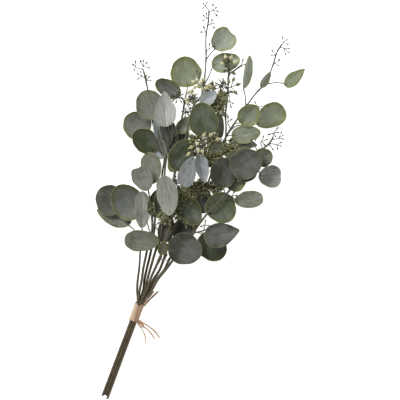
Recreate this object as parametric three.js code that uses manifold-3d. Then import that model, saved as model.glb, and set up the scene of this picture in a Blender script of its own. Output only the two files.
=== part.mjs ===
// A tied bunch of eight leafy eucalyptus stems with round leaves and gum nuts, lying on a flat surface.
// Units are millimetres, +Z is up and the surface is Z = 0. The origin is on the underside of the raffia
// tie, and the stems run along Y, with their cut ends at -Y and their leafy tips at +Y.
import * as THREE from 'three';
import { mergeVertices } from 'three/addons/utils/BufferGeometryUtils.js';
import Module from 'manifold-3d';

const wasm = await Module();
wasm.setup();

// Driving dimensions
const MM_PER_PIXEL = 1.5;
const TIE_PIXEL = [136.4, 312.4];
const LEAN = THREE.MathUtils.degToRad(20);
const STEM = { butt: 1.6, tip: 0.9, sides: 5, step: 40 };
const TWIG = { root: 0.85, tip: 0.65, sides: 3, steps: 2 };
const PETIOLE = { root: 0.9, tip: 0.35, sides: 3, steps: 3, reach: 0.1 };
const BUNDLE = { height: 6.5, ring: 4.03, slots: 7, butt: -132, stagger: 7 };
const BLADE = { thickness: 0.8, points: 12, fewer: 8, small: 38, middle: 0.45, egg: 0.12 };
const BLADE_BEND = { dish: 0.03, deeper: 0.09, arch: 0.06, hollow: 0.1, wave: 0.03 };
const TIE = { length: 27.5, bore: 5.95, wall: 0.9, taper: 0.4, shoulder: 6, sides: 20 };
const STRIP = { half: 0.35, sides: 4 };
const OVERRUN = 1;
const CLEARING = 110;
const SHOOT = { slant: 0.6, curve: 0.35, stagger: 1.5, spacing: 3 };
const SPRAY = { rise: 5, level: 0.4, dome: 1.15, squash: 0.8, least: 0.85, vary: 0.3, beadSides: 4 };
const NUT_SHOULDER = 0.45;
const STEEP = 0.9;
const MERGE = 1e-4;

// How far a bud or nut reaches from base to tip, how thick it is, and how many sides its solid has
const NUTS = {
  bud: { length: 4.6, radius: 1.4, stalk: 0.4, sides: 4, bead: 1.9 },
  olive: { length: 6.4, radius: 2.4, stalk: 0.4, sides: 4, bead: 2.4 },
  cream: { length: 9, radius: 3.2, stalk: 0.5, sides: 5, bead: 2.4 },
};

const COLOURS = {
  sprig: { color: 0x66704f, roughness: 0.75, metalness: 0 },
  tie: { color: 0xc9a98a, roughness: 0.85, metalness: 0 },
};

const UP = new THREE.Vector3(0, 0, 1);
const EAST = new THREE.Vector3(1, 0, 0);
const TURN = Math.PI * 2;
const GOLDEN_TURN = THREE.MathUtils.degToRad(137.5);
const RESTING = 'resting';
const OBOVATE = -0.16;

// Each stem has its slot in the bundle, its route from the tie to its tip as [across, down, height], its
// side twigs, its leaves as [across, down, height, heading, length, width, pitch, roll] from the leaf's
// base, and its nuts round a hub. Across and down are picture pixels, heights and sizes are millimetres,
// and angles are degrees: heading 90 points up the picture, pitch lifts the tip and roll lifts the left.
// A leaf marked obovate is broadest towards its tip, and the others are broadest towards their base.
const SPRIGS = {
  sprig_1: {
    slot: 6,
    route: [[137.5, 290, 7], [138, 280, 10], [138.8, 270, 13], [140.2, 250, 20], [142, 230, 27]],
    twigs: [[[141, 240, 23], [134, 230, 21], [128, 225, 17]]],
    leaves: [
      [142, 228, 30, 90, 55, 24, 12, 15, OBOVATE],
      [138, 218, 27, 123, 54, 45, 3, -8],
      [122, 212, 18, 137, 45, 45, -4, 5],
      [133, 223, 13, 158, 52, 34, -8, 10],
    ],
    sprays: [],
  },
  sprig_2: {
    slot: 0,
    route: [
      [139.5, 290, 11.5], [141.5, 280, 14.5], [142.8, 270, 18], [145.5, 257, 25], [147, 250, 28],
      [152, 230, 38], [152, 218, 43], [150, 200, 50], [148.5, 191, 54],
    ],
    twigs: [[[150, 234, 36], [148, 226, 40], [146.5, 220, 43]]],
    leaves: [
      [148.5, 190, 55, 114, 42, 31, 10, -10, OBOVATE],
      [153, 184, 46, 94, 48, 35, 5, -25, OBOVATE],
      [153, 217, 40, 80, 42, 26, 0, 20],
      [157, 214, 54, 88, 36, 15, 5, 40],
    ],
    sprays: [],
  },
  sprig_3: {
    slot: 5,
    route: [
      [143, 290, 4.5], [144.2, 280, 7.5], [146.3, 270, 11], [151, 250, 17], [154, 230, 23],
      [155, 218, 27], [158, 200, 30], [161.3, 180, 33], [163, 168, 34], [164.5, 158, 33],
      [158, 140, 27], [151, 115, 23], [148, 92, 22], [146.5, 84, 21], [143.5, 71, 20],
    ],
    twigs: [],
    leaves: [
      [164, 158, 40, 130, 36, 24, 0, 20],
      [156, 148, 46, 142, 43, 36, 8, 5],
      [150, 132, RESTING, 152, 45, 44, -17, 0],
      [158, 118, 31, 122, 45, 45, 4, -10],
    ],
    sprays: [
      { hub: [135, 66, 22], kind: 'bud', at: [[133, 64.5], [135.5, 61.5], [134.5, 69.5]] },
      { hub: [143, 66, 21], kind: 'bud', at: [[140.5, 61], [143, 60.5], [146.5, 62.5], [149, 67.5]] },
      { hub: [141.5, 76, 22], kind: 'bud', at: [[137.5, 73.5], [140.5, 71.5], [138, 78.5]] },
      { hub: [146.5, 80, 22], kind: 'bud', at: [[146, 75], [149, 76.5], [151, 80.5]] },
      { hub: [155, 226, 28], kind: 'bud', at: [[158.5, 223], [157.5, 229.5]] },
    ],
  },
  sprig_4: {
    slot: 'centre',
    route: [
      [144.8, 290, 9], [147, 280, 12.5], [149.8, 270, 16.5], [156.5, 248, 27], [160, 240, 30],
      [164, 200, 44], [164.5, 176, 50], [166.5, 157, 52], [170, 145, 50], [181, 122, 46],
      [183, 112, 44], [184.5, 102, 42], [187, 90, 40],
    ],
    twigs: [],
    leaves: [
      [159.5, 241, 42, 178, 54, 33, 3, -15, OBOVATE],
      [163, 243, 31, 78, 45, 24, 0, 0],
      [166.5, 156, 57, 85, 55, 35, 0, -20],
      [166, 127, 66, 90, 51, 38, 3, 15],
      [160, 140, 57, 105, 32, 18, 0, 40],
      [165.5, 157, 63, 108, 46, 14, 3, 55],
      [177, 132, 41, 40, 33, 22, -10, 0],
      [174, 143, 41, 45, 30, 24, -20, 0],
      [180, 96, 50, 150, 43, 28, 5, 10],
      [187, 87.5, 41, 99, 46, 46, -3, 5],
    ],
    sprays: [
      { hub: [190, 97, 45], kind: 'cream', at: [[188, 91.5], [192, 91], [195, 95]] },
      { hub: [186, 103, 46], kind: 'bud', at: [[183, 98.5], [188, 99.5], [191, 101.5], [190, 105]] },
      { hub: [163, 215, 48], kind: 'olive', count: 6, reach: 7 },
    ],
  },
  sprig_5: {
    slot: 1,
    route: [
      [146.8, 290, 13.5], [150, 280, 17], [154.3, 270, 21], [161, 255, 30], [170, 225, 44],
      [173, 183, 60], [177, 165, 66], [185, 140, 70], [194.5, 104, 66], [201, 97, 64],
      [203, 88, 61], [205, 74, 57], [206, 58, 52], [206, 36, 45], [208.5, 20, 39], [209, 11, 36],
    ],
    twigs: [
      [[183, 147, 69], [194, 144, 72], [205, 139, 74]],
      [[182, 149, 69], [189, 151, 76], [196, 153, 81]],
      [[206, 60, 52], [211, 53, 51], [215, 49, 50]],
      [[204, 86, 60], [208.5, 77, 47], [212, 68, 33]],
    ],
    leaves: [
      [161, 255, 38, 75, 22, 14, 10, 0],
      [169, 244, 48, -18, 52, 48, 5, -5],
      [170.5, 215, 64, 97, 57, 38, 6, -30, OBOVATE],
      [174, 170, 72, 63, 51, 37, 5, 8],
      [176, 172, 59, 115, 20, 17, -8, 0],
      [206, 137, 76, 100, 52, 44, 3, 5],
      [201, 103, 68, 38, 28, 22, 10, 20],
      [193.5, 157, 84, -107, 48, 28, -5, 20, OBOVATE],
      [198, 155, 79, -75, 43, 25, -5, -40, OBOVATE],
      [215.5, 48.5, 50, 46, 39, 36, 8, 10, OBOVATE],
      [212.5, 67, 32, 13, 43, 29, 3, -10],
    ],
    sprays: [
      { hub: [205.5, 6, 35], kind: 'bud', at: [[203.5, 3.5], [207, 2.5], [202.5, 8]] },
      { hub: [213, 10, 37], kind: 'bud', at: [[213, 5], [216, 7.5], [217.5, 11], [216.5, 15]] },
      { hub: [207, 18, 39], kind: 'bud', at: [[203.5, 15.5], [206.5, 13.5], [203, 20.5]] },
      { hub: [210.5, 24, 41], kind: 'bud', at: [[212, 20], [214, 23], [214, 27.5]] },
      { hub: [205.5, 32, 44], kind: 'bud', at: [[204, 27.5], [201.5, 32]] },
      { hub: [209, 49, 49], kind: 'bud', at: [[209.5, 44], [213.5, 46]] },
      { hub: [199, 85, 63], kind: 'cream', at: [[193.5, 82], [197, 80], [194, 88], [203.5, 80], [209, 86]] },
      { hub: [199, 79, 58], kind: 'bud', at: [[197, 71], [200, 73], [194.5, 77]] },
      { hub: [200, 144, 83], kind: 'cream', at: [[204, 135.5], [191.5, 147.5], [198.5, 151], [211, 135]] },
      { hub: [165, 259, 34], kind: 'bud', at: [[166.5, 255.5], [168.5, 262]] },
    ],
  },
  sprig_6: {
    slot: 4,
    route: [
      [148.4, 290, 4.5], [153, 280, 7], [159.5, 270, 11], [170, 240, 20], [178, 220, 27],
      [183, 198, 36], [190, 175, 44], [200, 165, 50], [212, 158, 52], [223, 150, 52],
      [226, 130, 52], [225.5, 115, 50], [227, 100, 48], [228, 88, 46], [229, 75, 43],
      [235, 70, 41], [242, 65, 39],
    ],
    twigs: [],
    leaves: [
      [184, 199, 46, -62, 44, 33, 5, 0],
      [223, 150, 59, 158, 26, 25, 5, 0],
      [219, 139, 60, 92, 40, 21, 0, 45],
    ],
    sprays: [
      { hub: [228, 67, 57], kind: 'cream', at: [[225.5, 57], [231, 58], [222.5, 64], [235, 62]] },
      { hub: [229, 69, 47], kind: 'olive', at: [[224, 71], [233.5, 73], [226.5, 66]] },
      { hub: [241.5, 65, 39], kind: 'bud', at: [[243, 59.5], [245.5, 64.5]] },
      { hub: [222, 84, 48], kind: 'bud', at: [[216, 85.5], [219.5, 80], [223, 78.5]] },
      { hub: [232.5, 85, 48], kind: 'olive', at: [[235.5, 77.5], [238.5, 86], [235, 92.5]] },
      { hub: [214, 104, 55], kind: 'olive', count: 6, reach: 8 },
      { hub: [221, 100, 56], kind: 'olive', count: 6, reach: 8 },
      { hub: [219, 111, 54], kind: 'olive', count: 5, reach: 8 },
      { hub: [229.5, 101, 50], kind: 'bud', at: [[229, 96], [233, 103.5], [231, 107]] },
      { hub: [209, 160, 58], kind: 'olive', count: 6, reach: 7 },
      { hub: [218, 156, 58], kind: 'olive', count: 5, reach: 7 },
      { hub: [183, 191, 44], kind: 'olive', count: 6, reach: 8 },
      { hub: [184, 212, 37], kind: 'olive', count: 6, reach: 8 },
    ],
  },
  sprig_7: {
    slot: 3,
    route: [
      [150.4, 290, 8], [156, 280, 11.5], [164, 270, 15], [170, 258, 18], [180, 244, 22],
      [193, 229, 27], [201, 205, 34], [208, 183, 39], [217, 157, 42], [226, 137, 44],
      [230, 130, 44], [236, 121, 43], [247, 105, 41], [257, 92, 38], [266, 83, 36], [270, 73, 34],
      [274, 62, 32], [277, 52, 30], [282, 44, 29],
    ],
    twigs: [
      [[229, 131, 44], [236, 126, 36], [245, 125, 25]],
      [[246, 106, 41], [245, 95, 43], [243.5, 89, 44]],
      [[265, 84, 36], [275, 82.5, 36], [283, 83, 35]],
    ],
    leaves: [
      [174, 238, 15, 40, 42, 33, 0, 0],
      [201, 213, 39, 80, 36, 30, 8, 0],
      [213, 194, 49, -54, 48, 45, 0, 3],
      [231.5, 135, 42, 10, 43, 23, 0, 40],
      [229, 140, 35, -10, 42, 21, -8, 30],
      [240, 123, 50, 43, 37, 32, 6, 10],
      [256, 122, RESTING, 21, 50, 36, -12, -8],
      [243.5, 87.5, 44, 80, 50, 27, 0, 60],
      [260, 87, 45, 59, 27, 18, 0, 50],
      [284, 83, 35, 29, 36, 24, 0, -18],
    ],
    sprays: [
      { hub: [204, 190, 46], kind: 'olive', count: 6, reach: 8 },
      { hub: [257, 106, 38], kind: 'bud', at: [[255, 102], [262, 106], [262, 109.5], [258, 111.5]] },
      { hub: [228, 122, 46], kind: 'bud', at: [[228, 117], [231.5, 119.5]] },
      { hub: [283.5, 42, 29], kind: 'bud', at: [[282.5, 37], [287, 39.5], [288, 44]] },
      { hub: [284, 48, 30], kind: 'bud', at: [[289, 48.5], [289.5, 52.5], [285.5, 53.5]] },
      { hub: [275.5, 55, 31], kind: 'bud', at: [[272.5, 50.5], [271.5, 55]] },
      { hub: [275, 63, 32], kind: 'bud', at: [[279, 60], [278.5, 65.5]] },
    ],
  },
  sprig_8: {
    slot: 2,
    route: [
      [151.8, 290, 12], [158, 280, 15.5], [167, 270, 19], [174, 260, 24], [184, 246, 30],
      [193, 233, 38], [200, 223, 46], [207, 214, 55], [214, 207, 61], [222, 198, 63],
      [229, 191, 64], [237, 180, 62], [250, 165, 56], [262, 150, 50], [270, 142.5, 46], [273, 137, 44],
    ],
    twigs: [
      [[194, 233, 39], [202, 231, 44], [212, 227, 48]],
      [[252, 163, 55], [258, 170, 46], [261, 175, 37]],
    ],
    leaves: [
      [231, 171.5, 76, 27, 51, 45, 4, 0],
      [234, 180, 66, 61, 53, 53, -3, -6],
      [229, 190, 57, 55, 33, 32, -10, 0],
      [223, 188, 70, 92, 46, 39, 4, 8],
      [257, 160, 60, 34, 28, 28, -5, 0],
      [261, 176, 36, 0, 33, 34, -3, 10, OBOVATE],
      [235.5, 201, 57, 5, 42, 28, -3, -30, OBOVATE],
      [205, 240, 49, 15, 51, 35, 3, -12],
      [203, 234, 36, -50, 45, 42, -8, 0],
    ],
    sprays: [
      { hub: [274, 133, 43], kind: 'bud', at: [[277.5, 128], [278, 132.5], [275.5, 136.5], [269, 134.5]] },
      { hub: [279, 138, 45], kind: 'bud', at: [[281.5, 132.5], [283, 135.5], [283, 139]] },
      { hub: [277, 145, 44], kind: 'bud', at: [[281, 142.5], [281, 146], [277.5, 149]] },
      { hub: [270.5, 146, 45], kind: 'bud', at: [[273, 149.5]] },
      { hub: [261.5, 141.5, 50], kind: 'bud', at: [[263.5, 136.5], [267, 139.5], [264.5, 145]] },
      { hub: [254, 143, 52], kind: 'bud', at: [[251, 140], [256, 139]] },
      { hub: [205, 225, 51], kind: 'bud', at: [[205.5, 220.5], [201, 226.5], [211, 226]] },
      { hub: [232, 196, 66], kind: 'bud', at: [[234, 192], [236.5, 195.5], [234, 199]] },
    ],
  },
};

// The raffia ends and the loop of the knot, as routes of [across, down, height] with their widths
const STRIPS = [
  { width: 2.2, route: [[142.2, 308.8, 6.5], [147.5, 299, 6], [153.5, 291.5, 4.5]] },
  { width: 1.7, route: [[142, 309.5, 4.8], [150.5, 299.5, 3.8], [158.5, 291.5, 3]] },
  { width: 2, route: [[138, 321, 8], [141, 322.5, 8], [145, 325, 7], [155, 333, 5], [159.5, 338, 4]] },
  { width: 1.8, route: [[137.8, 321.4, 5], [143.5, 327, 5], [149, 332, 4], [154.3, 339.5, 3]] },
  { width: 1.4, route: [[137.6, 321, 6.5], [140.8, 329, 5.5], [144, 337, 4], [144.5, 345.5, 3]] },
  { width: 2.2, route: [[138, 319.5, 8], [141.5, 321, 8.5], [143.6, 325, 7], [140.5, 326, 6], [137.8, 321.4, 6]] },
];

function seededChance(seed) {
  const value = Math.sin(seed * 12.9898) * 43758.5453;
  return value - Math.floor(value);
}

function placeAt([across, down, height]) {
  const right = (across - TIE_PIXEL[0]) * MM_PER_PIXEL;
  const forward = (TIE_PIXEL[1] - down) * MM_PER_PIXEL;
  return new THREE.Vector3(right, forward, height).applyAxisAngle(UP, LEAN);
}

function solidFrom(vertices, faces) {
  const vertProperties = new Float32Array(vertices.flatMap((vertex) => vertex.toArray()));
  const triVerts = new Uint32Array(faces.flat());
  return new wasm.Manifold(new wasm.Mesh({ numProp: 3, vertProperties, triVerts }));
}

// Joins two rings of vertices, either of which may be a single point
function bridge(faces, back, front) {
  const count = Math.max(back.length, front.length);
  for (let k = 0; k < count; k += 1) {
    const next = (k + 1) % count;
    if (back.length > 1) faces.push([back[k], back[next], front[next % front.length]]);
    if (front.length > 1) faces.push([back[k % back.length], front[next], front[k]]);
  }
}

function cap(faces, ring) {
  for (let k = 2; k < ring.length; k += 1) faces.push([ring[0], ring[k - 1], ring[k]]);
}

// Carries an oval section along the points; a section of no width closes to a point
function sweep(points, halfWidths, halfHeights, sides) {
  const vertices = [];
  const side = new THREE.Vector3();
  const rings = points.map((point, i) => {
    const ahead = points[Math.min(i + 1, points.length - 1)];
    const behind = points[Math.max(i - 1, 0)];
    const along = ahead.clone().sub(behind).normalize();
    if (i === 0) side.crossVectors(Math.abs(along.z) > STEEP ? EAST : UP, along);
    side.addScaledVector(along, -side.dot(along)).normalize();
    const top = along.clone().cross(side);
    const ring = [];
    for (let k = 0; k < (halfWidths[i] > 0 ? sides : 1); k += 1) {
      const turn = (TURN * (k + 0.5)) / sides;
      const vertex = point.clone().addScaledVector(side, halfWidths[i] * Math.cos(turn));
      ring.push(vertices.push(vertex.addScaledVector(top, halfHeights[i] * Math.sin(turn))) - 1);
    }
    return ring;
  });
  const faces = [];
  for (let i = 1; i < rings.length; i += 1) bridge(faces, rings[i - 1], rings[i]);
  cap(faces, rings[0].slice().reverse());
  cap(faces, rings[rings.length - 1]);
  return solidFrom(vertices, faces);
}

function tube(points, root, tip, sides) {
  const last = points.length - 1;
  const radii = points.map((_, i) => root + ((tip - root) * i) / last);
  return sweep(points, radii, radii, sides);
}

// Smooth points through the route, about one for each step of length
function smoothPoints(route, step) {
  const curve = new THREE.CatmullRomCurve3(route);
  const spans = route.length - 1;
  const points = [route[0].clone()];
  for (let i = 0; i < spans; i += 1) {
    const count = Math.max(1, Math.round(route[i].distanceTo(route[i + 1]) / step));
    for (let k = 1; k <= count; k += 1) points.push(curve.getPoint((i + k / count) / spans));
  }
  return points;
}

// Closely spaced points along the straight runs between the given points
function closePoints(points) {
  const close = [points[0]];
  for (let i = 1; i < points.length; i += 1) {
    const count = Math.ceil(points[i].distanceTo(points[i - 1]) / SHOOT.spacing);
    for (let k = 1; k <= count; k += 1) close.push(points[i - 1].clone().lerp(points[i], k / count));
  }
  return close;
}

// The point of the branches that a side shoot to the target best grows from, slanting forward
function growthPoint(branches, target) {
  let best = { cost: Infinity };
  for (const branch of branches) {
    for (let i = 1; i < branch.length; i += 1) {
      const along = branch[i].clone().sub(branch[i - 1]).normalize();
      const way = target.clone().sub(branch[i]);
      const cost = way.length() - SHOOT.slant * way.dot(along);
      if (cost < best.cost) best = { cost, point: branch[i], along };
    }
  }
  return best;
}

// A shoot that leaves its branch forwards and arrives along the given direction
function shoot(branches, target, arrival, { root, tip, sides, steps }, seed) {
  const { point: nearest, along } = growthPoint(branches, target);
  const point = nearest.clone().addScaledVector(along, -SHOOT.stagger * seededChance(seed));
  const reach = point.distanceTo(target);
  const leaving = point.clone().addScaledVector(along, reach * SHOOT.curve);
  const arriving = target.clone().addScaledVector(arrival, -reach * SHOOT.curve);
  const curve = new THREE.CubicBezierCurve3(point, leaving, arriving, target);
  return tube(curve.getPoints(steps), root, tip, sides);
}

// A leaf's own directions: along its midrib, to its left, and out of its upper face
function leafFrame(heading, pitch, roll) {
  const turn = THREE.MathUtils.degToRad(heading) + LEAN;
  const tilt = THREE.MathUtils.degToRad(pitch);
  const bank = THREE.MathUtils.degToRad(roll);
  const along = new THREE.Vector3(Math.cos(turn), Math.sin(turn), 0);
  along.multiplyScalar(Math.cos(tilt)).addScaledVector(UP, Math.sin(tilt));
  const left = new THREE.Vector3(-Math.sin(turn), Math.cos(turn), 0).applyAxisAngle(along, bank);
  return { along, left, face: along.clone().cross(left) };
}

// How far the blade stands off its own plane: it is dished, bends along its length and has a waved rim
function bladeRise(length, width, ratio, turn, seed) {
  const dish = (BLADE_BEND.dish + BLADE_BEND.deeper * seededChance(seed)) * width * ratio ** 2;
  const arch = (BLADE_BEND.arch - BLADE_BEND.hollow * seededChance(seed + 1)) * length;
  const bend = arch * (ratio * Math.cos(turn)) ** 2;
  const phase = TURN * seededChance(seed + 2);
  return dish + bend + BLADE_BEND.wave * width * ratio ** 3 * Math.sin(2 * turn + phase);
}

function leaf([across, down, height, heading, length, width, pitch, roll, egg = BLADE.egg], seed) {
  const { along, left, face } = leafFrame(heading, pitch, roll);
  const lift = height === RESTING ? 0 : height;
  const base = placeAt([across, down, lift]);
  const spot = (ratio, turn, offset) => {
    const x = length * (BLADE.middle + ratio * (0.5 - 0.5 * Math.cos(turn) - BLADE.middle));
    const y = -0.5 * width * ratio * Math.sin(turn) * (1 + egg * Math.cos(turn));
    const z = bladeRise(length, width, ratio, turn, seed) + offset;
    return base.clone().addScaledVector(along, x).addScaledVector(left, y).addScaledVector(face, z);
  };
  const count = length < BLADE.small ? BLADE.fewer : BLADE.points;
  const vertices = [];
  const layers = [BLADE.thickness / 2, -BLADE.thickness / 2].map((offset) => {
    const centre = [vertices.push(spot(0, 0, offset)) - 1];
    const turns = Array.from({ length: count }, (_, k) => (TURN * k) / count);
    return { centre, rim: turns.map((turn) => vertices.push(spot(1, turn, offset)) - 1) };
  });
  const [upper, lower] = layers;
  const faces = [];
  bridge(faces, upper.rim, upper.centre);
  bridge(faces, lower.centre, lower.rim);
  bridge(faces, lower.rim, upper.rim);
  if (height === RESTING) {
    const lowest = Math.min(...vertices.map((vertex) => vertex.z));
    vertices.forEach((vertex) => { vertex.z -= lowest; });
    base.z -= lowest;
  }
  const joint = base.clone().addScaledVector(along, length * PETIOLE.reach);
  const ratio = (BLADE.middle - PETIOLE.reach) / BLADE.middle;
  joint.addScaledVector(face, bladeRise(length, width, 1, 0, seed) * ratio);
  return { blade: solidFrom(vertices, faces), joint, along };
}

// The swelling that the stalks of a spray grow from
function bead(hub, radius) {
  const points = [-radius, 0, radius].map((lift) => hub.clone().addScaledVector(UP, lift));
  return sweep(points, [0, radius, 0], [0, radius, 0], SPRAY.beadSides);
}

// A gum nut or bud on its stalk, from the hub of its spray to its pointed cap
function nut(hub, middle, { length, radius, stalk, sides, bead: root }) {
  const way = middle.clone().sub(hub);
  const start = Math.max(root, way.length() - length / 2);
  const axis = way.normalize();
  const stations = [root / 2, start, start + NUT_SHOULDER * length, start + length];
  const points = stations.map((distance) => hub.clone().addScaledVector(axis, distance));
  const radii = [stalk, stalk, radius, 0];
  return sweep(points, radii, radii, sides);
}

// The middles of a spray's nuts: where it names them, or spread over a dome by the golden angle
function nutMiddles(spray, hub, seed) {
  if (spray.at) {
    return spray.at.map(([across, down], i) => {
      const rise = SPRAY.rise * (seededChance(seed + i) - SPRAY.level);
      return placeAt([across, down, spray.hub[2] + rise]);
    });
  }
  return Array.from({ length: spray.count }, (_, i) => {
    const slope = 1 - (SPRAY.dome * (i + 0.5)) / spray.count;
    const flat = Math.sqrt(1 - slope ** 2);
    const turn = i * GOLDEN_TURN + seed;
    const out = new THREE.Vector3(flat * Math.cos(turn), flat * Math.sin(turn), slope * SPRAY.squash);
    const length = spray.reach * (SPRAY.least + SPRAY.vary * seededChance(seed + i));
    return hub.clone().addScaledVector(out, length);
  });
}

// The points of a stem from its cut end, through its slot in the tied bundle, to its tip
function stemPoints({ slot, route }, index) {
  const central = slot === 'centre';
  const turn = central ? 0 : TURN / 4 - (TURN * (slot - 1)) / BUNDLE.slots;
  const ring = central ? 0 : BUNDLE.ring;
  const x = ring * Math.cos(turn);
  const z = BUNDLE.height + ring * Math.sin(turn);
  const butt = BUNDLE.butt - BUNDLE.stagger * seededChance(index + 0.5);
  const straight = [butt, butt / 2, -TIE.length / 2, TIE.length / 2];
  const bundled = straight.map((y) => new THREE.Vector3(x, y, z));
  return smoothPoints([...bundled, ...route.map(placeAt)], STEM.step);
}

function buildSprig(sprig, index) {
  const stem = stemPoints(sprig, index);
  const grown = stem.filter((point) => point.y > TIE.length);
  const branches = [closePoints(grown)];
  const solids = [tube(stem, STEM.butt, STEM.tip, STEM.sides)];
  sprig.twigs.forEach((twig) => {
    const points = twig.map(placeAt);
    points[0] = growthPoint(branches, points[0]).point;
    solids.push(tube(points, TWIG.root, TWIG.tip, TWIG.sides + 1));
    branches.push(closePoints(points));
  });
  sprig.leaves.forEach((row, i) => {
    const { blade, joint, along } = leaf(row, 100 * index + i);
    solids.push(blade, shoot(branches, joint, along, PETIOLE, 7 * index + i));
  });
  sprig.sprays.forEach((spray, i) => {
    const hub = placeAt(spray.hub);
    const middles = nutMiddles(spray, hub, 100 * index + 10 * i);
    const heart = middles.reduce((sum, middle) => sum.add(middle), new THREE.Vector3());
    const arrival = heart.divideScalar(middles.length).sub(hub).normalize();
    solids.push(shoot(branches, hub, arrival, TWIG, 9 * index + i), bead(hub, NUTS[spray.kind].bead));
    middles.forEach((middle) => solids.push(nut(hub, middle, NUTS[spray.kind])));
  });
  return wasm.Manifold.union(solids);
}

function solidOf(geometry) {
  geometry.deleteAttribute('normal');
  geometry.deleteAttribute('uv');
  const merged = mergeVertices(geometry, MERGE);
  const vertProperties = new Float32Array(merged.attributes.position.array);
  return new wasm.Manifold(new wasm.Mesh({ numProp: 3, vertProperties, triVerts: merged.index.array }));
}

// A wrapped sleeve of raffia with the knot's loop and loose ends, open through the middle, flat below
function buildTie() {
  const outer = TIE.bore + TIE.wall;
  const half = TIE.length / 2;
  const waist = [
    [0, -half], [outer - TIE.taper, -half], [outer, -half + TIE.shoulder],
    [outer, half - TIE.shoulder], [outer - TIE.taper, half], [0, half],
  ];
  const wrap = new THREE.LatheGeometry(waist.map(([r, y]) => new THREE.Vector2(r, y)), TIE.sides);
  const strips = STRIPS.map(({ width, route }) => {
    const points = smoothPoints(route.map(placeAt), TIE.length / 2);
    const widths = points.map(() => width * Math.SQRT1_2);
    const heights = points.map(() => STRIP.half * Math.SQRT2);
    return sweep(points, widths, heights, STRIP.sides);
  });
  const bore = new THREE.CylinderGeometry(TIE.bore, TIE.bore, TIE.length + 2 * OVERRUN, TIE.sides);
  const below = new THREE.BoxGeometry(CLEARING, CLEARING, outer).translate(0, 0, -outer / 2);
  wrap.translate(0, 0, BUNDLE.height);
  bore.translate(0, 0, BUNDLE.height);
  const outside = wasm.Manifold.union([solidOf(wrap), ...strips]);
  return outside.subtract(solidOf(bore)).subtract(solidOf(below));
}

function meshFrom(name, solid, look) {
  const { vertProperties, triVerts } = solid.getMesh();
  const indexed = new THREE.BufferGeometry();
  indexed.setAttribute('position', new THREE.BufferAttribute(vertProperties, 3));
  indexed.setIndex(new THREE.BufferAttribute(triVerts, 1));
  const geometry = indexed.toNonIndexed();
  geometry.computeVertexNormals();
  const mesh = new THREE.Mesh(geometry, new THREE.MeshStandardMaterial(look));
  mesh.name = name;
  return mesh;
}

const bunch = new THREE.Group();
Object.entries(SPRIGS).forEach(([name, sprig], index) => {
  bunch.add(meshFrom(name, buildSprig(sprig, index + 1), COLOURS.sprig));
});
bunch.add(meshFrom('tie', buildTie(), COLOURS.tie));

export default bunch;
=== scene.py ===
# %% [markdown]
# # A tied bunch of eucalyptus with gum nuts
# Eight cut stems of round-leaved eucalyptus lie on a white table, held by a wrap of raffia. Each stem
# carries round leaves, sprays of small flower buds and clusters of gum nuts. This lesson dresses the plain
# solids of that bunch with finer leaves, bark, nuts and raffia. It starts with the imported model, because
# every finer piece has to lie where its solid lies.

# %% Load the imported model
import math

import bpy
from mathutils import Matrix, Vector


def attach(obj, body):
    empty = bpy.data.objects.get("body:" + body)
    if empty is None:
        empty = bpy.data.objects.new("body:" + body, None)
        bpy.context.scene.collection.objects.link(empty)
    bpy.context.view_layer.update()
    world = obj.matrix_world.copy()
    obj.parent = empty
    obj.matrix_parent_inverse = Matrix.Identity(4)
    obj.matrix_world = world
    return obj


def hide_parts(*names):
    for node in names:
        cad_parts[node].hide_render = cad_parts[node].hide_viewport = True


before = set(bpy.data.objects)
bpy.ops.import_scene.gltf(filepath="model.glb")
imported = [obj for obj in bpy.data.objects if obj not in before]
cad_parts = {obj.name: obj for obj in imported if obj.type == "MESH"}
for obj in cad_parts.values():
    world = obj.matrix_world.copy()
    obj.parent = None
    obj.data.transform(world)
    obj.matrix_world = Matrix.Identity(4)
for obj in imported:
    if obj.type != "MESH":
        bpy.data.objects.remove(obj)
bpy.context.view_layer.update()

# %% [markdown]
# The photograph looks straight down, so a place in it is a place on the table. One pixel is one and a half
# millimetres, and the tie's middle is the origin. The bunch is turned so that its stems run along Y, which
# is why every place is turned by the same lean. Working in millimetres keeps the numbers close to what a
# ruler would read, and they become metres only when a mesh is made.

# %% Places and sizes
MM = 0.001
MM_PER_PIXEL = 1.5
TIE_PIXEL = (136.4, 312.4)
PHOTO_MIDDLE = (200, 200)
LEAN = math.radians(20)
UP = Vector((0, 0, 1))
TURN = math.tau
SEED_STEP, SEED_SCALE = 12.9898, 43758.5453


def place_at(place):
    across, down, height = place
    spot = Vector(((across - TIE_PIXEL[0]) * MM_PER_PIXEL, (TIE_PIXEL[1] - down) * MM_PER_PIXEL, height))
    return Matrix.Rotation(LEAN, 3, "Z") @ spot


def seeded_chance(seed):
    value = math.sin(seed * SEED_STEP) * SEED_SCALE
    return value - math.floor(value)


def turns_round(count):
    return [TURN * k / count for k in range(count)]


print("middle of the photograph is at", tuple(round(n) for n in place_at((*PHOTO_MIDDLE, 0))), "mm")

# %% [markdown]
# A very long lens from eight metres up shows the bunch with hardly any perspective, as the photograph does.
# The camera hangs over the middle of the picture and is turned with the lean, so that up in the picture is
# up in the render.

# %% Camera
LENS_MM = 500
SENSOR_MM = 36
HALF_VIEW_MM = 300
FOCUS_HEIGHT_MM = 45
SIGHT_M = 50


def put_in_scene(name, data):
    thing = bpy.data.objects.new(name, data)
    bpy.context.scene.collection.objects.link(thing)
    return thing


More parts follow.
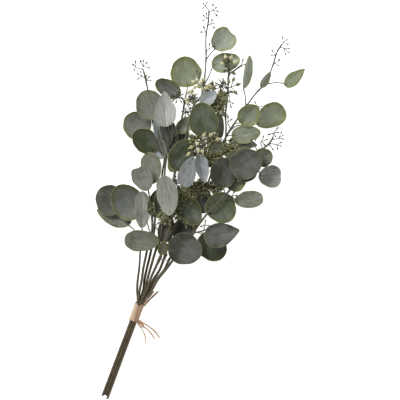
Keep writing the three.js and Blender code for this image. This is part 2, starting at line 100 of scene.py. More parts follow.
camera_data = bpy.data.cameras.new("studio_camera")
camera_data.lens = LENS_MM
camera_data.sensor_width = SENSOR_MM
camera_data.clip_end = SIGHT_M
camera = put_in_scene("studio_camera", camera_data)
camera_height = FOCUS_HEIGHT_MM + HALF_VIEW_MM * LENS_MM / (SENSOR_MM / 2)
camera.location = place_at((*PHOTO_MIDDLE, camera_height)) * MM
camera.rotation_euler = (0, 0, LEAN)
bpy.context.scene.camera = camera
print("camera", round(camera.location.z, 3), "m above the table")

# %% [markdown]
# Colours are written as the sRGB hex values that a colour picker shows, and one function turns them into
# the linear values that Blender's shaders work with. A second function adds a node, sets its options and
# fills or links its sockets. A socket can be named or numbered. A hex value given to a socket is a colour,
# and a node given to it stands for that node's first output that is in use. Every material and growing rule
# below is put together with this function. A new material also reads the marks that its mesh carries.

# %% Colour and node helpers
def srgb(code):
    channels = [int(code[i:i + 2], 16) / 255 for i in (1, 3, 5)]
    return [c / 12.92 if c <= 0.04045 else ((c + 0.055) / 1.055) ** 2.4 for c in channels] + [1]


def add_node(tree, kind, inputs=None, **settings):
    node = tree.nodes.new(kind)
    for name, value in settings.items():
        setattr(node, name, value)
    for key, value in (inputs or {}).items():
        named = [socket for socket in node.inputs if socket.name == key and socket.enabled]
        socket = named[0] if named else node.inputs[key]
        if isinstance(value, bpy.types.Node):
            value = next(output for output in value.outputs if output.enabled)
        if isinstance(value, bpy.types.NodeSocket):
            tree.links.new(value, socket)
        else:
            is_colour = isinstance(value, str) and value.startswith("#")
            socket.default_value = srgb(value) if is_colour else value
    return node


def new_material(name, *marks):
    material = bpy.data.materials.new(name)
    material.use_nodes = True
    tree = material.node_tree
    tree.nodes.clear()
    readers = [add_node(tree, "ShaderNodeAttribute", attribute_name=mark) for mark in marks]
    return material, tree, *[reader.outputs["Fac"] for reader in readers]


print("mid green is", [round(c, 3) for c in srgb("#5a6348")])

# %% [markdown]
# The catalogue says what grows where. Each stem has its slot in the bundle, its route from the tie to its
# tip, its side twigs, its leaves and its sprays of nuts. Places are picture pixels across and down with a
# height in millimetres. A leaf is its base, its heading, length, width, pitch and roll, then its look and
# its shape. A spray is its kind of nut, its hub, and either where its nuts lie or how many crowd round the
# hub and how far out they reach.

# %% Catalogue of the bunch
RESTING = "resting"
SPRIGS = {
    "sprig_1": {"slot": 6, "route": (
        (136.8, 290, 7), (137.4, 280, 10), (138.8, 270, 13), (140.2, 250, 20), (142, 230, 27),
    ), "twigs": (
        ((141, 240, 23), (134, 230, 21), (128, 225, 17)),
    ), "leaves": (
        (142, 228, 33, 90, 56, 25, 12, 15, "bright", "drop"),
        (138, 217.5, 22, 123, 58, 49, 3, -8, "slate", "round"),
        (121.5, 210.7, 15, 137, 47, 47, -4, 5, "dusk", "round"),
        (131.2, 222.2, 11, 160, 54, 33, -8, 10, "mossy", "oval"),
    )},
    "sprig_2": {"slot": 0, "route": (
        (139.5, 290, 11.5), (141.5, 280, 14.5), (142.8, 270, 18), (145.5, 257, 25), (147, 250, 28),
        (152, 230, 38), (152, 218, 43), (150, 200, 50), (148.5, 191, 54),
    ), "twigs": (
        ((150, 234, 36), (148, 226, 40), (146.5, 220, 43)),
    ), "leaves": (
        (148.5, 190, 55, 114, 42, 31, 10, -10, "silver", "heart"),
        (153, 184, 46, 94, 48, 35, 5, -25, "mossy", "drop"),
        (153, 217, 40, 80, 42, 26, 0, 20, "green", "round"),
        (157, 214, 54, 88, 36, 15, 5, 40, "dusk", "oval"),
    )},
    "sprig_3": {"slot": 5, "route": (
        (143, 290, 4.5), (144.2, 280, 7.5), (146.3, 270, 11), (151, 250, 17), (154, 230, 23),
        (155, 218, 27), (158, 200, 30), (161.3, 180, 33), (163, 168, 34), (164.5, 158, 33),
        (158, 140, 27), (151, 115, 23), (148, 92, 22), (146.5, 84, 21), (143.5, 71, 20),
    ), "leaves": (
        (164, 158, 40, 130, 36, 24, 0, 20, "frost", "oval"),
        (156, 149.5, 46, 142, 43, 36, 8, 5, "deep", "round"),
        (150, 132, RESTING, 152, 45, 44, -17, 0, "slate", "round"),
        (158.3, 117, 31, 122, 46, 45, 4, -10, "mossy", "round"),
    ), "sprays": (
        ("bud", (135, 66, 22), ((133, 64.5), (135.5, 61.5), (134.5, 69.5))),
        ("bud", (143, 66, 21), ((140.5, 61), (143, 60.5), (146.5, 62.5), (149, 67.5))),
        ("bud", (141.5, 76, 22), ((137.5, 73.5), (140.5, 71.5), (138, 78.5))),
        ("bud", (146.5, 80, 22), ((146, 75), (149, 76.5), (151, 80.5))),
        ("bud", (155, 226, 28), ((158.5, 223), (157.5, 229.5))),
    )},
    "sprig_4": {"slot": "centre", "route": (
        (144.8, 290, 9), (147, 280, 12.5), (149.8, 270, 16.5), (156.5, 248, 27), (160, 240, 30),
        (164, 200, 44), (164.5, 176, 50), (166.5, 157, 52), (170, 145, 50), (181, 122, 46),
        (183, 112, 44), (184.5, 102, 42), (187, 90, 40),
    ), "leaves": (
        (159.5, 241, 42, 178, 54, 33, 3, -15, "mossy", "blunt"),
        (163, 243, 31, 78, 45, 24, 0, 0, "shade", "round"),
        (166.5, 156, 57, 85, 55, 35, 0, -20, "shade", "round"),
        (164.8, 127, 66, 91, 51, 35, 3, 15, "chalk", "pointed"),
        (160, 140, 57, 105, 32, 18, 0, 40, "frost", "oval"),
        (165.5, 157, 63, 108, 46, 14, 3, 55, "bright", "oval"),
        (177, 132, 41, 40, 33, 22, -10, 0, "pale", "round"),
        (174, 143, 41, 45, 30, 24, -20, 0, "shade", "round"),
        (180, 96, 50, 150, 43, 28, 5, 10, "slate", "round"),
        (187.7, 87.5, 41, 98, 47, 47, -3, 5, "lit", "round"),
    ), "sprays": (
        ("cream", (190, 97, 45), ((188, 91.5), (192, 91), (195, 95))),
        ("bud", (186, 103, 46), ((183, 98.5), (188, 99.5), (191, 101.5), (190, 105))),
        ("bud", (168, 147, 66), ((162.5, 138), (165.5, 133), (168.5, 136), (172, 140))),
        ("bud", (172, 138, 67), ((169, 129), (172.5, 125.5), (176, 128), (177.5, 134))),
        ("olive", (163, 215, 48), 6, 7), ("olive", (158, 208, 46), 5, 8), ("olive", (167, 219, 42), 4, 7),
    )},
    "sprig_5": {"slot": 1, "route": (
        (146.8, 290, 13.5), (150, 280, 17), (154.3, 270, 21), (161, 255, 30), (170, 225, 44),
        (173, 183, 60), (177, 165, 66), (185, 140, 70), (194.5, 104, 66), (201, 97, 64),
        (203, 88, 61), (205, 74, 57), (206, 58, 52), (206, 36, 45), (208.5, 20, 39), (209, 11, 36),
    ), "twigs": (
        ((183, 147, 69), (194, 144, 72), (205, 139, 74)), ((182, 149, 69), (189, 151, 76), (196, 153, 81)),
        ((206, 60, 52), (211, 53, 51), (215, 49, 50)), ((204, 86, 60), (208.5, 77, 47), (212, 68, 33)),
    ), "leaves": (
        (161, 255, 38, 75, 22, 14, 10, 0, "olive", "round"),
        (169, 244, 48, -18, 52, 48, 5, -5, "shade", "round"),
        (171.3, 215, 64, 97, 60, 37, 6, -30, "silver", "drop"),
        (174, 170, 72, 63, 51, 37, 5, 8, "deep", "round"),
        (176, 172, 59, 115, 20, 17, -8, 0, "fresh", "round"),
        (206, 137, 76, 100, 52, 44, 3, 5, "green", "round"),
        (201, 103, 68, 38, 28, 22, 10, 20, "frost", "oval"),
        (193.5, 156.5, 84, -107, 48, 27, -5, 20, "ash", "spoon"),
        (197.2, 154.5, 79, -77, 43, 27, -5, -35, "lilac", "pointed"),
        (213.5, 48.5, 50, 43, 40, 37, 8, 10, "pale", "heart"),
        (211.8, 66, 32, 13, 44, 30, 3, -10, "pale", "round"),
    ), "sprays": (
        ("bud", (205.5, 6, 35), ((203.5, 3.5), (207, 2.5), (202.5, 8))),
        ("bud", (213, 10, 37), ((213, 5), (216, 7.5), (217.5, 11), (216.5, 15))),
        ("bud", (207, 18, 39), ((203.5, 15.5), (206.5, 13.5), (203, 20.5))),
        ("bud", (210.5, 24, 41), ((212, 20), (214, 23), (214, 27.5))),
        ("bud", (205.5, 32, 44), ((204, 27.5), (201.5, 32))),
        ("bud", (209, 49, 49), ((209.5, 44), (213.5, 46))),
        ("cream", (199, 85, 63), ((193.5, 82), (197, 80), (194, 88), (203.5, 80), (209, 86))),
        ("bud", (199, 79, 58), ((197, 71), (200, 73), (194.5, 77))),
        ("cream", (200, 144, 83), ((204, 135.5), (191.5, 147.5), (198.5, 151), (211, 135))),
        ("bud", (165, 259, 34), ((166.5, 255.5), (168.5, 262))),
        ("cream", (200, 146, 84), ((198.6, 144.8), (188.7, 154.2), (202.5, 152), (218, 139.5))),
        ("olive", (195, 141, 74), 5, 8), ("olive", (206, 149, 70), 5, 8), ("olive", (199, 155, 72), 4, 7),
        ("cream", (203, 86, 64), ((199, 86.5), (203, 89.5), (207, 88.5), (201, 82), (210.5, 87))),
        ("olive", (212, 139, 73), 5, 7), ("bud", (193, 99, 60), 4, 8), ("bud", (186, 112, 58), 3, 8),
        ("bud", (178, 97, 56), 3, 8), ("bud", (222, 86, 60), 3, 8), ("bud", (176, 181, 60), 3, 7),
        ("cream", (191, 99, 61), ((187.5, 103), (186, 99.5), (193, 102.5))), ("olive", (211, 88, 58), 3, 7),
    )},
    "sprig_6": {"slot": 4, "route": (
        (148.4, 290, 4.5), (153, 280, 7), (159.5, 270, 11), (170, 240, 20), (178, 220, 27),
        (183, 198, 36), (190, 175, 44), (200, 165, 50), (212, 158, 52), (223, 150, 52),
        (226, 130, 52), (225.5, 115, 50), (227, 100, 48), (228, 88, 46), (229, 75, 43),
        (235, 70, 41), (242, 65, 39),
    ), "leaves": (
        (184, 199, 46, -62, 44, 33, 5, 0, "deep", "round"),
        (223, 150, 59, 158, 26, 25, 5, 0, "pale", "round"),
        (219, 139, 60, 92, 40, 21, 0, 45, "green", "round"),
    ), "sprays": (
        ("cream", (228, 67, 57), ((225.5, 57), (231, 58), (222.5, 64), (235, 62))),
        ("olive", (229, 69, 47), ((224, 71), (233.5, 73), (226.5, 66))),
        ("bud", (241.5, 65, 39), ((243, 59.5), (245.5, 64.5))),
        ("bud", (222, 84, 48), ((216, 85.5), (219.5, 80), (223, 78.5))),
        ("green", (231, 87, 48), ((233.5, 79.5), (238, 84.5), (235.5, 92.5))),
        ("olive", (214, 104, 55), 6, 8), ("olive", (221, 100, 56), 6, 8), ("olive", (219, 111, 54), 5, 8),
        ("bud", (229.5, 101, 50), ((229, 96), (233, 103.5), (231, 107))), ("olive", (209, 160, 58), 6, 7),
        ("olive", (218, 156, 58), 5, 7), ("olive", (183, 191, 44), 6, 8), ("olive", (184, 212, 37), 6, 8),
        ("olive", (188, 220, 35), 5, 8), ("olive", (194, 186, 47), 5, 8), ("olive", (201, 183, 47), 4, 7),
        ("olive", (214, 164, 55), 4, 7), ("olive", (228, 62, 52), 3, 6), ("olive", (222, 95, 51), 4, 7),
        ("olive", (226, 150, 56), 5, 8), ("olive", (232, 148, 55), 5, 7), ("olive", (215, 188, 46), 6, 9),
        ("olive", (178, 200, 46), 5, 8), ("olive", (192, 194, 45), 6, 8), ("olive", (178, 213, 43), 5, 8),
        ("olive", (186, 200, 43), 5, 8), ("olive", (176, 207, 44), 5, 8), ("olive", (181, 194, 45), 5, 8),
        ("green", (228, 90, 50), ((232, 92), (229, 81.5), (224.5, 82))), ("olive", (171, 210, 43), 5, 7),
    )},
    "sprig_7": {"slot": 3, "route": (
        (150.4, 290, 8), (156, 280, 11.5), (164, 270, 15), (170, 258, 18), (180, 244, 22),
        (193, 229, 27), (201, 205, 34), (208, 183, 39), (217, 157, 42), (226, 137, 44),
        (230, 130, 44), (236, 121, 43), (247, 105, 41), (257, 92, 38), (266, 83, 36),
        (270, 73, 34), (274, 62, 32), (277, 52, 30), (282, 44, 29),
    ), "twigs": (
        ((229, 131, 44), (236, 126, 36), (245, 125, 25)), ((246, 106, 41), (245, 95, 43), (243.5, 89, 44)),
        ((265, 84, 36), (275, 82.5, 36), (283, 83, 35)),
    ), "leaves": (
        (174, 238, 15, 40, 42, 33, 0, 0, "shade", "round"),
        (201, 213, 39, 80, 36, 30, 8, 0, "shade", "round"),
        (212.3, 195, 49, -54, 48, 45, 0, 3, "green", "round"),
        (231.5, 135.3, 42, 7, 44, 30, 0, 28, "pale", "round"),
        (229, 140, 35, -10, 42, 21, -8, 30, "mossy", "oval"),
        (240, 123, 50, 43, 37, 32, 6, 10, "lit", "round"),
        (256.8, 124.6, RESTING, 31, 51, 37, -12, -8, "lit", "blunt"),
        (243.5, 88.5, 44, 80, 49, 26, 0, 60, "pale", "oval"),
        (260, 87, 45, 59, 27, 18, 0, 50, "pale", "oval"),
        (285.4, 86.6, 35, 42, 38, 22, 0, -18, "lit", "pointed"),
    ), "sprays": (
        ("olive", (204, 190, 46), 6, 8),
        ("bud", (257, 106, 38), ((255, 102), (262, 106), (262, 109.5), (258, 111.5))),
        ("bud", (228, 122, 46), ((228, 117), (231.5, 119.5))),
        ("bud", (283.5, 42, 29), ((282.5, 37), (287, 39.5), (288, 44))),
        ("bud", (284, 48, 30), ((289, 48.5), (289.5, 52.5), (285.5, 53.5))),
        ("bud", (275.5, 55, 31), ((272.5, 50.5), (271.5, 55))),
        ("bud", (275, 63, 32), ((279, 60), (278.5, 65.5))),
    )},
    "sprig_8": {"slot": 2, "route": (
        (151.8, 290, 12), (157.4, 280, 15.5), (165.6, 270, 19), (173, 260, 24), (184, 246, 30),
        (193, 233, 38), (200, 223, 46), (207, 214, 55), (214, 207, 61), (222, 198, 63),
        (229, 191, 64), (237, 180, 62), (250, 165, 56), (262, 150, 50), (270, 142.5, 46), (273, 137, 44),
    ), "twigs": (
        ((194, 233, 39), (202, 231, 44), (212, 227, 48)), ((252, 163, 55), (258, 170, 46), (261, 175, 37)),
    ), "leaves": (
        (231, 171.5, 76, 27, 51, 45, 4, 0, "dusk", "round"),
        (234, 180, 66, 61, 53, 53, -3, -6, "slate", "round"),
        (229, 190, 57, 55, 33, 32, -10, 0, "lit", "round"),
        (223, 188, 70, 92, 46, 39, 4, 8, "shade", "round"),
        (255.5, 162, 60, 30, 28, 29, -5, 0, "olive", "round"),
        (258.3, 176, 36, 0, 36, 34, -3, 10, "bright", "notched"),
        (234.5, 202.3, 57, 6, 44, 30, -3, -30, "mossy", "blunt"),
        (204.7, 239.7, 49, 15, 52, 40, 3, -12, "dusk", "pointed"),
        (201.8, 233.8, 36, -50, 49, 44, -8, 0, "deep", "round"),
    ), "sprays": (
        ("bud", (274, 133, 43), ((277.5, 128), (278, 132.5), (275.5, 136.5), (269, 134.5))),
        ("bud", (279, 138, 45), ((281.5, 132.5), (283, 135.5), (283, 139))),
        ("bud", (277, 145, 44), ((281, 142.5), (281, 146), (277.5, 149))),
        ("bud", (270.5, 146, 45), ((273, 149.5),)),
        ("bud", (261.5, 141.5, 50), ((263.5, 136.5), (267, 139.5), (264.5, 145))),
        ("bud", (254, 143, 52), ((251, 140), (256, 139))),
        ("bud", (205, 225, 51), ((205.5, 220.5), (201, 226.5), (211, 226))),
        ("bud", (232, 196, 66), ((234, 192), (236.5, 195.5), (234, 199))),
    )},
}

print("the catalogue has", sum(len(sprig["leaves"]) for sprig in SPRIGS.values()), "leaves")

# %% [markdown]
# Stems, twigs and stalks are round tubes that follow a path and grow thinner towards their ends. The points
# of a route are few, so a curve is drawn through them first. The centripetal kind of curve never loops or
# swings wide between uneven points, which suits a branch.

# %% Smooth paths
def catmull_rom(points, span, share):
    start, end = points[span], points[span + 1]
    before = points[span - 1] if span > 0 else start * 2 - end
    after = points[span + 2] if span + 2 < len(points) else end * 2 - start
    first, middle, last = [(b - a).length ** 0.5 for a, b in ((before, start), (start, end), (end, after))]
    leaving = (start - before) / first - (end - before) / (first + middle) + (end - start) / middle
    arriving = (end - start) / middle - (after - start) / (middle + last) + (after - end) / last
    leaving, arriving = leaving * middle, arriving * middle
    bend = (end - start) * 3 - leaving * 2 - arriving
    twist = (start - end) * 2 + leaving + arriving
    return start + leaving * share + bend * share ** 2 + twist * share ** 3


def smooth_points(route, step):
    points = [route[0]]
    for span in range(len(route) - 1):
        count = max(1, round((route[span + 1] - route[span]).length / step))
        points += [catmull_rom(route, span, k / count) for k in range(1, count + 1)]
    return points


def bezier_points(start, leaving, arriving, end, count):
    points = []
    for t in [k / count for k in range(count + 1)]:
        middle = leaving * 3 * t * (1 - t) ** 2 + arriving * 3 * t ** 2 * (1 - t)
        points.append(start * (1 - t) ** 3 + middle + end * t ** 3)
    return points


elbow = [Vector((0, 0, 0)), Vector((30, 0, 0)), Vector((30, 30, 0))]
print("an elbow of three places becomes", len(smooth_points(elbow, 3)), "points")

# %% [markdown]
# A eucalyptus shoot leaves its branch at a slant, forwards. So each leaf and each spray looks for the place
# on the branches that is close to it and that lies behind it, and grows from there.

# %% Where shoots grow
SLANT = 0.6
SHOOT_CURVE = 0.35
SHOOT_STAGGER = 1.5


def growth_point(branches, target):
    best = None
    for branch in branches:
        for behind, point in zip(branch, branch[1:]):
            along = (point - behind).normalized()
            way = target - point
            cost = way.length - SLANT * way.dot(along)
            if best is None or cost < best[0]:
                best = (cost, point, along)
    return best[1], best[2]


def shoot_points(branches, target, arrival, count, seed):
    nearest, along = growth_point(branches, target)
    root = nearest - along * SHOOT_STAGGER * seeded_chance(seed)
    reach = (target - root).length
    leaving = root + along * reach * SHOOT_CURVE
    arriving = target - arrival * reach * SHOOT_CURVE
    return bezier_points(root, leaving, arriving, target, count)


straight = [Vector((0, y, 0)) for y in range(0, 61, 3)]
root, _ = growth_point([straight], Vector((20, 40, 0)))
print("a leaf 40 mm up a branch and 20 mm aside grows from", round(root.y), "mm up")

# %% [markdown]
# The stems stand in the tie like pencils in a fist: one in the middle and seven round it. Below the tie
# they run straight to their cut ends, which were cut a little unevenly. A stem stays thick for a hand's
# width above the tie and then thins slowly, and its last few centimetres thin down to a twig.

# %% Stem paths
STEM_BUTT_MM = 1.62
STEM_TIP_MM = 1.05
THICK_RUN_MM = 235
THIN_RUN_MM = 350
END_TAPER = 0.012
FAN_SWELL, FAN_MIDDLE_MM, FAN_LENGTH_MM = 0.22, 195, 60
BUNDLE_HEIGHT = 6.5
BUNDLE_RING = 4.03
BUNDLE_SLOTS = 7
BUTT_Y = -132
BUTT_STAGGER = 7
BUTT_SPREAD, BUTT_DRIFT = 0.12, -1.2
TIE_LENGTH = 27.5
STEM_STEP = 3


def stem_points(sprig, index):
    centred = sprig["slot"] == "centre"
    turn = 0 if centred else TURN / 4 - TURN * (sprig["slot"] - 1) / BUNDLE_SLOTS
    ring = 0 if centred else BUNDLE_RING
    butt = BUTT_Y - BUTT_STAGGER * seeded_chance(index + 0.5)
    bundled = []
    for y in (butt, butt / 2, -TIE_LENGTH / 2, TIE_LENGTH / 2):
        slack = max(0, y / BUTT_Y)
        out = ring * (1 + BUTT_SPREAD * slack)
        x = BUTT_DRIFT * slack + out * math.cos(turn)
        bundled.append(Vector((x, y, BUNDLE_HEIGHT + out * math.sin(turn))))
    return smooth_points(bundled + [place_at(place) for place in sprig["route"]], STEM_STEP)


def running_lengths(path):
    lengths = [0]
    for behind, point in zip(path, path[1:]):
        lengths.append(lengths[-1] + (point - behind).length)
    return lengths


def stem_thickness(path):
    runs = running_lengths(path)
    sizes = []
    for run in runs:
        thinning = min(1, max(0, (run - THICK_RUN_MM) / THIN_RUN_MM))
        size = STEM_BUTT_MM + (STEM_TIP_MM - STEM_BUTT_MM) * thinning
        size *= 1 + FAN_SWELL * math.exp(-((run - FAN_MIDDLE_MM) / FAN_LENGTH_MM) ** 2)
        sizes.append(min(size, STEM_TIP_MM + (runs[-1] - run) * END_TAPER))
    return sizes


for index, (name, sprig) in enumerate(SPRIGS.items(), start=1):
    print(name, "stem is", round(running_lengths(stem_points(sprig, index))[-1]), "mm long")

# %% [markdown]
# A leaf lies in its own frame: along its midrib, to its left, and out of its upper face. Its shape says
# where it is broadest, how far its tip is drawn out or notched, how early it narrows towards the tip, and
# how sharply it is folded along its midrib.

# %% Leaf frame and shapes
LEAF_SHAPES = {
    "round": (0.12, 0, 0, 0.04),
    "oval": (0.12, 0.04, 0.12, 0.1),
    "pointed": (0.12, 0.05, 0.42, 0.14),
    "drop": (-0.16, 0.01, 0, 0.14),
    "spoon": (-0.34, 0, 0, 0.16),
    "blunt": (-0.16, -0.02, 0, 0.1),
    "notched": (-0.16, -0.06, 0, 0.1),
    "heart": (-0.16, -0.1, 0, 0.14),
}


def leaf_frame(heading, pitch, roll):
    turn = math.radians(heading) + LEAN
    tilt = math.radians(pitch)
    along = Vector((math.cos(turn) * math.cos(tilt), math.sin(turn) * math.cos(tilt), math.sin(tilt)))
    left = Matrix.Rotation(math.radians(roll), 3, along) @ Vector((-math.sin(turn), math.cos(turn), 0))
    return along, left, along.cross(left)


print("a level leaf that points right looks along", tuple(round(n, 2) for n in leaf_frame(0, 0, 0)[0]))

# %% [markdown]
# The blade isn't flat. It is dished, it bends along its length, and its rim waves, each by an amount that is
# drawn from the leaf's own seed, so that no two leaves are alike and yet each run gives the same leaves. A
# place on it is given by how far it is from the middle to the rim and by a turn, which is none at the stalk
# and half round at the tip.

# %% Leaf blade
BLADE_MIDDLE = 0.45
DISH, DEEPER = 0.03, 0.09
ARCH, HOLLOW = 0.06, 0.1
WAVE = 0.03
CREASE_MM, CREASE_WIDTH, CREASE_FADE = 0.5, 1.8, 0.6
TIP_SHARPNESS = 14
NARROWING = 2.5
RIPPLE = 0.016
RIPPLE_WAVES = ((5, 3), (8, 4))
PHASE_REACH = 9


def blade_rise(length, width, ratio, turn, seed):
    dish = (DISH + DEEPER * seeded_chance(seed)) * width * ratio ** 2
    bend = (ARCH - HOLLOW * seeded_chance(seed + 1)) * length * (ratio * math.cos(turn)) ** 2
    phase = TURN * seeded_chance(seed + 2)
    return dish + bend + WAVE * width * ratio ** 3 * math.sin(2 * turn + phase)


def blade_spot(length, width, shape, ratio, turn, seed):
    egg, tip, narrow, fold = LEAF_SHAPES[shape]
    near_tip = max(0, -math.cos(turn)) ** TIP_SHARPNESS
    share = 0.5 - 0.5 * math.cos(turn)
    x = length * (BLADE_MIDDLE + ratio * (share - BLADE_MIDDLE))
    x += length * tip * near_tip * ratio ** 4
    y = -0.5 * width * ratio * math.sin(turn) * (1 + egg * math.cos(turn))
    y *= 1 - narrow * (share * ratio) ** NARROWING
    phases = [(waves, PHASE_REACH * seeded_chance(seed + own)) for waves, own in RIPPLE_WAVES]
    ripple = sum(math.sin(waves * turn + phase) for waves, phase in phases)
    y *= 1 + RIPPLE * ripple * ratio ** 4
    z = blade_rise(length, width, ratio, turn, seed) + RIPPLE * width * 0.5 * ripple * ratio ** 5
    z += fold * (math.hypot(y, CREASE_WIDTH) - CREASE_WIDTH)
    z -= CREASE_MM * math.exp(-(y / CREASE_WIDTH) ** 2) * (1 - CREASE_FADE * x / length)
    return x, y, z


for name in LEAF_SHAPES:
    end, _, _ = blade_spot(50, 45, name, 1, TURN / 2, 1)
    print(name, "leaf of 50 mm reaches", round(end, 1), "mm")

# %% [markdown]
# Most shapes here are rings of points with a skin between them: a leaf, a nut, a strip, a sleeve. A ring of
# one point closes an end. One function makes the faces of such a skin, and they face outwards when each
# ring runs anticlockwise round the way that the rings follow. Otherwise the skin is flipped. A second
# function makes the mesh and writes on each point what its material or its growing rule wants to know of
# it, such as a colour, a place or a thickness.

# %% Skins and meshes
MARK_KINDS = {1: ("FLOAT", "value"), 3: ("FLOAT_VECTOR", "vector"), 4: ("FLOAT_COLOR", "color")}


def skin_faces(rings, flip=False):
    faces = []
    for low, high in zip(rings, rings[1:]):
        count = max(len(low), len(high))
        for k in range(count):
            after = (k + 1) % count
            corners = [low[k], low[after]] if len(low) > 1 else [low[0]]
            corners += [high[after], high[k]] if len(high) > 1 else [high[0]]
            faces.append(corners[::-1] if flip else corners)
    return faces


def make_mesh(name, points, edges=(), faces=(), **marks):
    mesh = bpy.data.meshes.new(name)
    mesh.from_pydata([point * MM for point in points], edges, faces)
    for mark, values in marks.items():
        size = 1 if isinstance(values[0], (int, float)) else len(values[0])
        kind, field = MARK_KINDS[size]
        numbers = values if size == 1 else [number for value in values for number in value]
        mesh.attributes.new(mark, kind, "POINT").data.foreach_set(field, numbers)
    mesh.shade_smooth()
    return mesh


print("a fan of five points has", len(skin_faces([[0], [1, 2, 3, 4, 5]])), "faces")

# %% [markdown]
# A look is the colour of a leaf's two skins and how strongly its rim shows. Leaves that show their
# undersides are the silvery ones, whose rims are hidden and whose green side looks down. Each of the others
# has an upper skin, a lower skin and a rim of its own. The 'lit' look is a lighter green that carries
# painted light, for leaves that catch the light, and the 'shade' look is a near-black that carries painted
# shade, for leaves lying deep under others. A leaf is also a little lighter or darker, and warmer or cooler,
# than its look, by its own seed.

# %% Leaf looks
UNDERSIDES = {
    "bright": "#9a9c95", "silver": "#7f8178", "lilac": "#8f9396", "frost": "#b2bac0", "ash": "#74787a",
    "chalk": "#b1b3ae",
}
GREEN_SIDE = "#5c6549"
SHOWN_RIM, HIDDEN_RIM, LOWER_RIM = 1, 0.2, 0.3
# 'lit' is painted light on a green leaf, 'shade' is painted shade on a leaf deep under others
FACES = {
    "pale": ("#9ba390", "#7c8874", 0.7), "lit": ("#7d856a", "#8b9180", 1),
    "mossy": ("#717366", "#838a7c", 0.5), "fresh": ("#67714f", "#838a7c", 1),
    "slate": ("#5c5f57", "#838a80", 1), "olive": ("#56574a", "#7d8473", 1),
    "green": ("#485037", "#838a7c", 1), "dusk": ("#46483f", "#7d8473", 0.5),
    "deep": ("#3a4129", "#838a7c", 1), "shade": ("#35372c", "#747a6c", 0.5),
}
TONE_SPREAD = 0.14
HUE_SPREAD = 0.05


def leaf_tone(code, seed):
    shade = 1 + TONE_SPREAD * (seeded_chance(seed + 6) - 0.5)
    warmth = HUE_SPREAD * (seeded_chance(seed + 7) - 0.5)
    red, green, blue, _ = srgb(code)
    return red * shade * (1 + warmth), green * shade, blue * shade * (1 - warmth), 1


def leaf_skins(look, seed):
    if look in UNDERSIDES:
        upper, lower, rims = UNDERSIDES[look], GREEN_SIDE, (HIDDEN_RIM, SHOWN_RIM)
    else:
        upper, lower, rim = FACES[look]
        rims = (rim, LOWER_RIM)
    return (leaf_tone(upper, seed), leaf_tone(lower, seed)), rims


print(len(UNDERSIDES) + len(FACES), "leaf looks")

# %% [markdown]
# A real leaf has an upper and a lower skin with a thin rounded rim between them. Rings of points round a
# middle point follow a round leaf better than a square grid does, and keep the rim smooth. Each point also
# stores where it lies on the leaf in millimetres, how far it is from the rim, and the colour of its skin,
# so that one leaf material can draw veins and rims on every leaf. The midrib stands a little proud of the
# lower skin: it is one more wire that the stalk runs on into. A resting leaf is lowered until it touches
# the table.

# %% Leaf mesh
BLADE_THICKNESS = 0.5
PETIOLE_REACH = 0.1
SPOKES = 48
RING_RATIOS = (0.1, 0.22, 0.34, 0.46, 0.57, 0.67, 0.76, 0.84, 0.91, 0.96, 0.99)
NUMBER_STEP = 37
RIB_STATIONS = (
    (0.7, 0), (0.5, 0), (0.25, 0),
    (0, TURN / 2), (0.25, TURN / 2), (0.5, TURN / 2), (0.72, TURN / 2),
)


def add_leaf(sheets, row, seed):
    across, down, height, heading, length, width, pitch, roll, look, shape = row
    along, left, face = leaf_frame(heading, pitch, roll)
    base = place_at((across, down, 0 if height == RESTING else height))
    points = sheets["points"]
    first = len(points)
    tones, rims = leaf_skins(look, seed)
    turns = turns_round(SPOKES)

    def add_spot(ratio, turn, side, brim=False):
        x, y, z = blade_spot(length, width, shape, ratio, turn, seed)
        z += 0 if brim else (0.5 - side) * BLADE_THICKNESS
        points.append(base + along * x + left * y + face * z)
        radius = math.hypot((length / 2) * math.cos(turn), (width / 2) * math.sin(turn))
        sheets["leaf_place"].append((x, y, NUMBER_STEP * seed))
        sheets["leaf_edge"].append((1 - ratio) * radius)
        sheets["leaf_rim"].append(rims[side])
        sheets["leaf_tone"].append(tones[side])
        return len(points) - 1

    brim = [add_spot(1, turn, 0, brim=True) for turn in turns]
    for side in (0, 1):
        rings = [[add_spot(0, 0, side)]]
        rings += [[add_spot(ratio, turn, side) for turn in turns] for ratio in RING_RATIOS]
        sheets["faces"] += skin_faces(rings + [brim], flip=side == 1)
    if height == RESTING:
        lowest = min(point.z for point in points[first:])
        for point in points[first:] + [base]:
            point.z -= lowest
    joint = base + along * length * PETIOLE_REACH
    joint += face * blade_rise(length, width, 1, 0, seed) * (BLADE_MIDDLE - PETIOLE_REACH) / BLADE_MIDDLE
    skin = 0.5 * BLADE_THICKNESS * (1 if look in UNDERSIDES else -1)
    rib = []
    for ratio, turn in RIB_STATIONS:
        x, y, z = blade_spot(length, width, shape, ratio, turn, seed)
        rib.append(base + along * x + left * y + face * (z + skin))
    return joint, along, rib


print("a leaf has", SPOKES * (len(RING_RATIOS) + 1) * 2, "faces")

# %% [markdown]
# The gum nuts come in four kinds. Small dark buds sit in loose sprays at the tips, olive capsules crowd in
# dense heaps along the stems, green ones are plumper, and the ripest are cream coloured. Each is a turned
# shape: a cup that swells from its stalk, a rim, and a cap that is drawn out to a thorn. Its profile gives
# how wide it is at each share of its length. Only a few dozen faces are needed, because they are repeated
# hundreds of times.

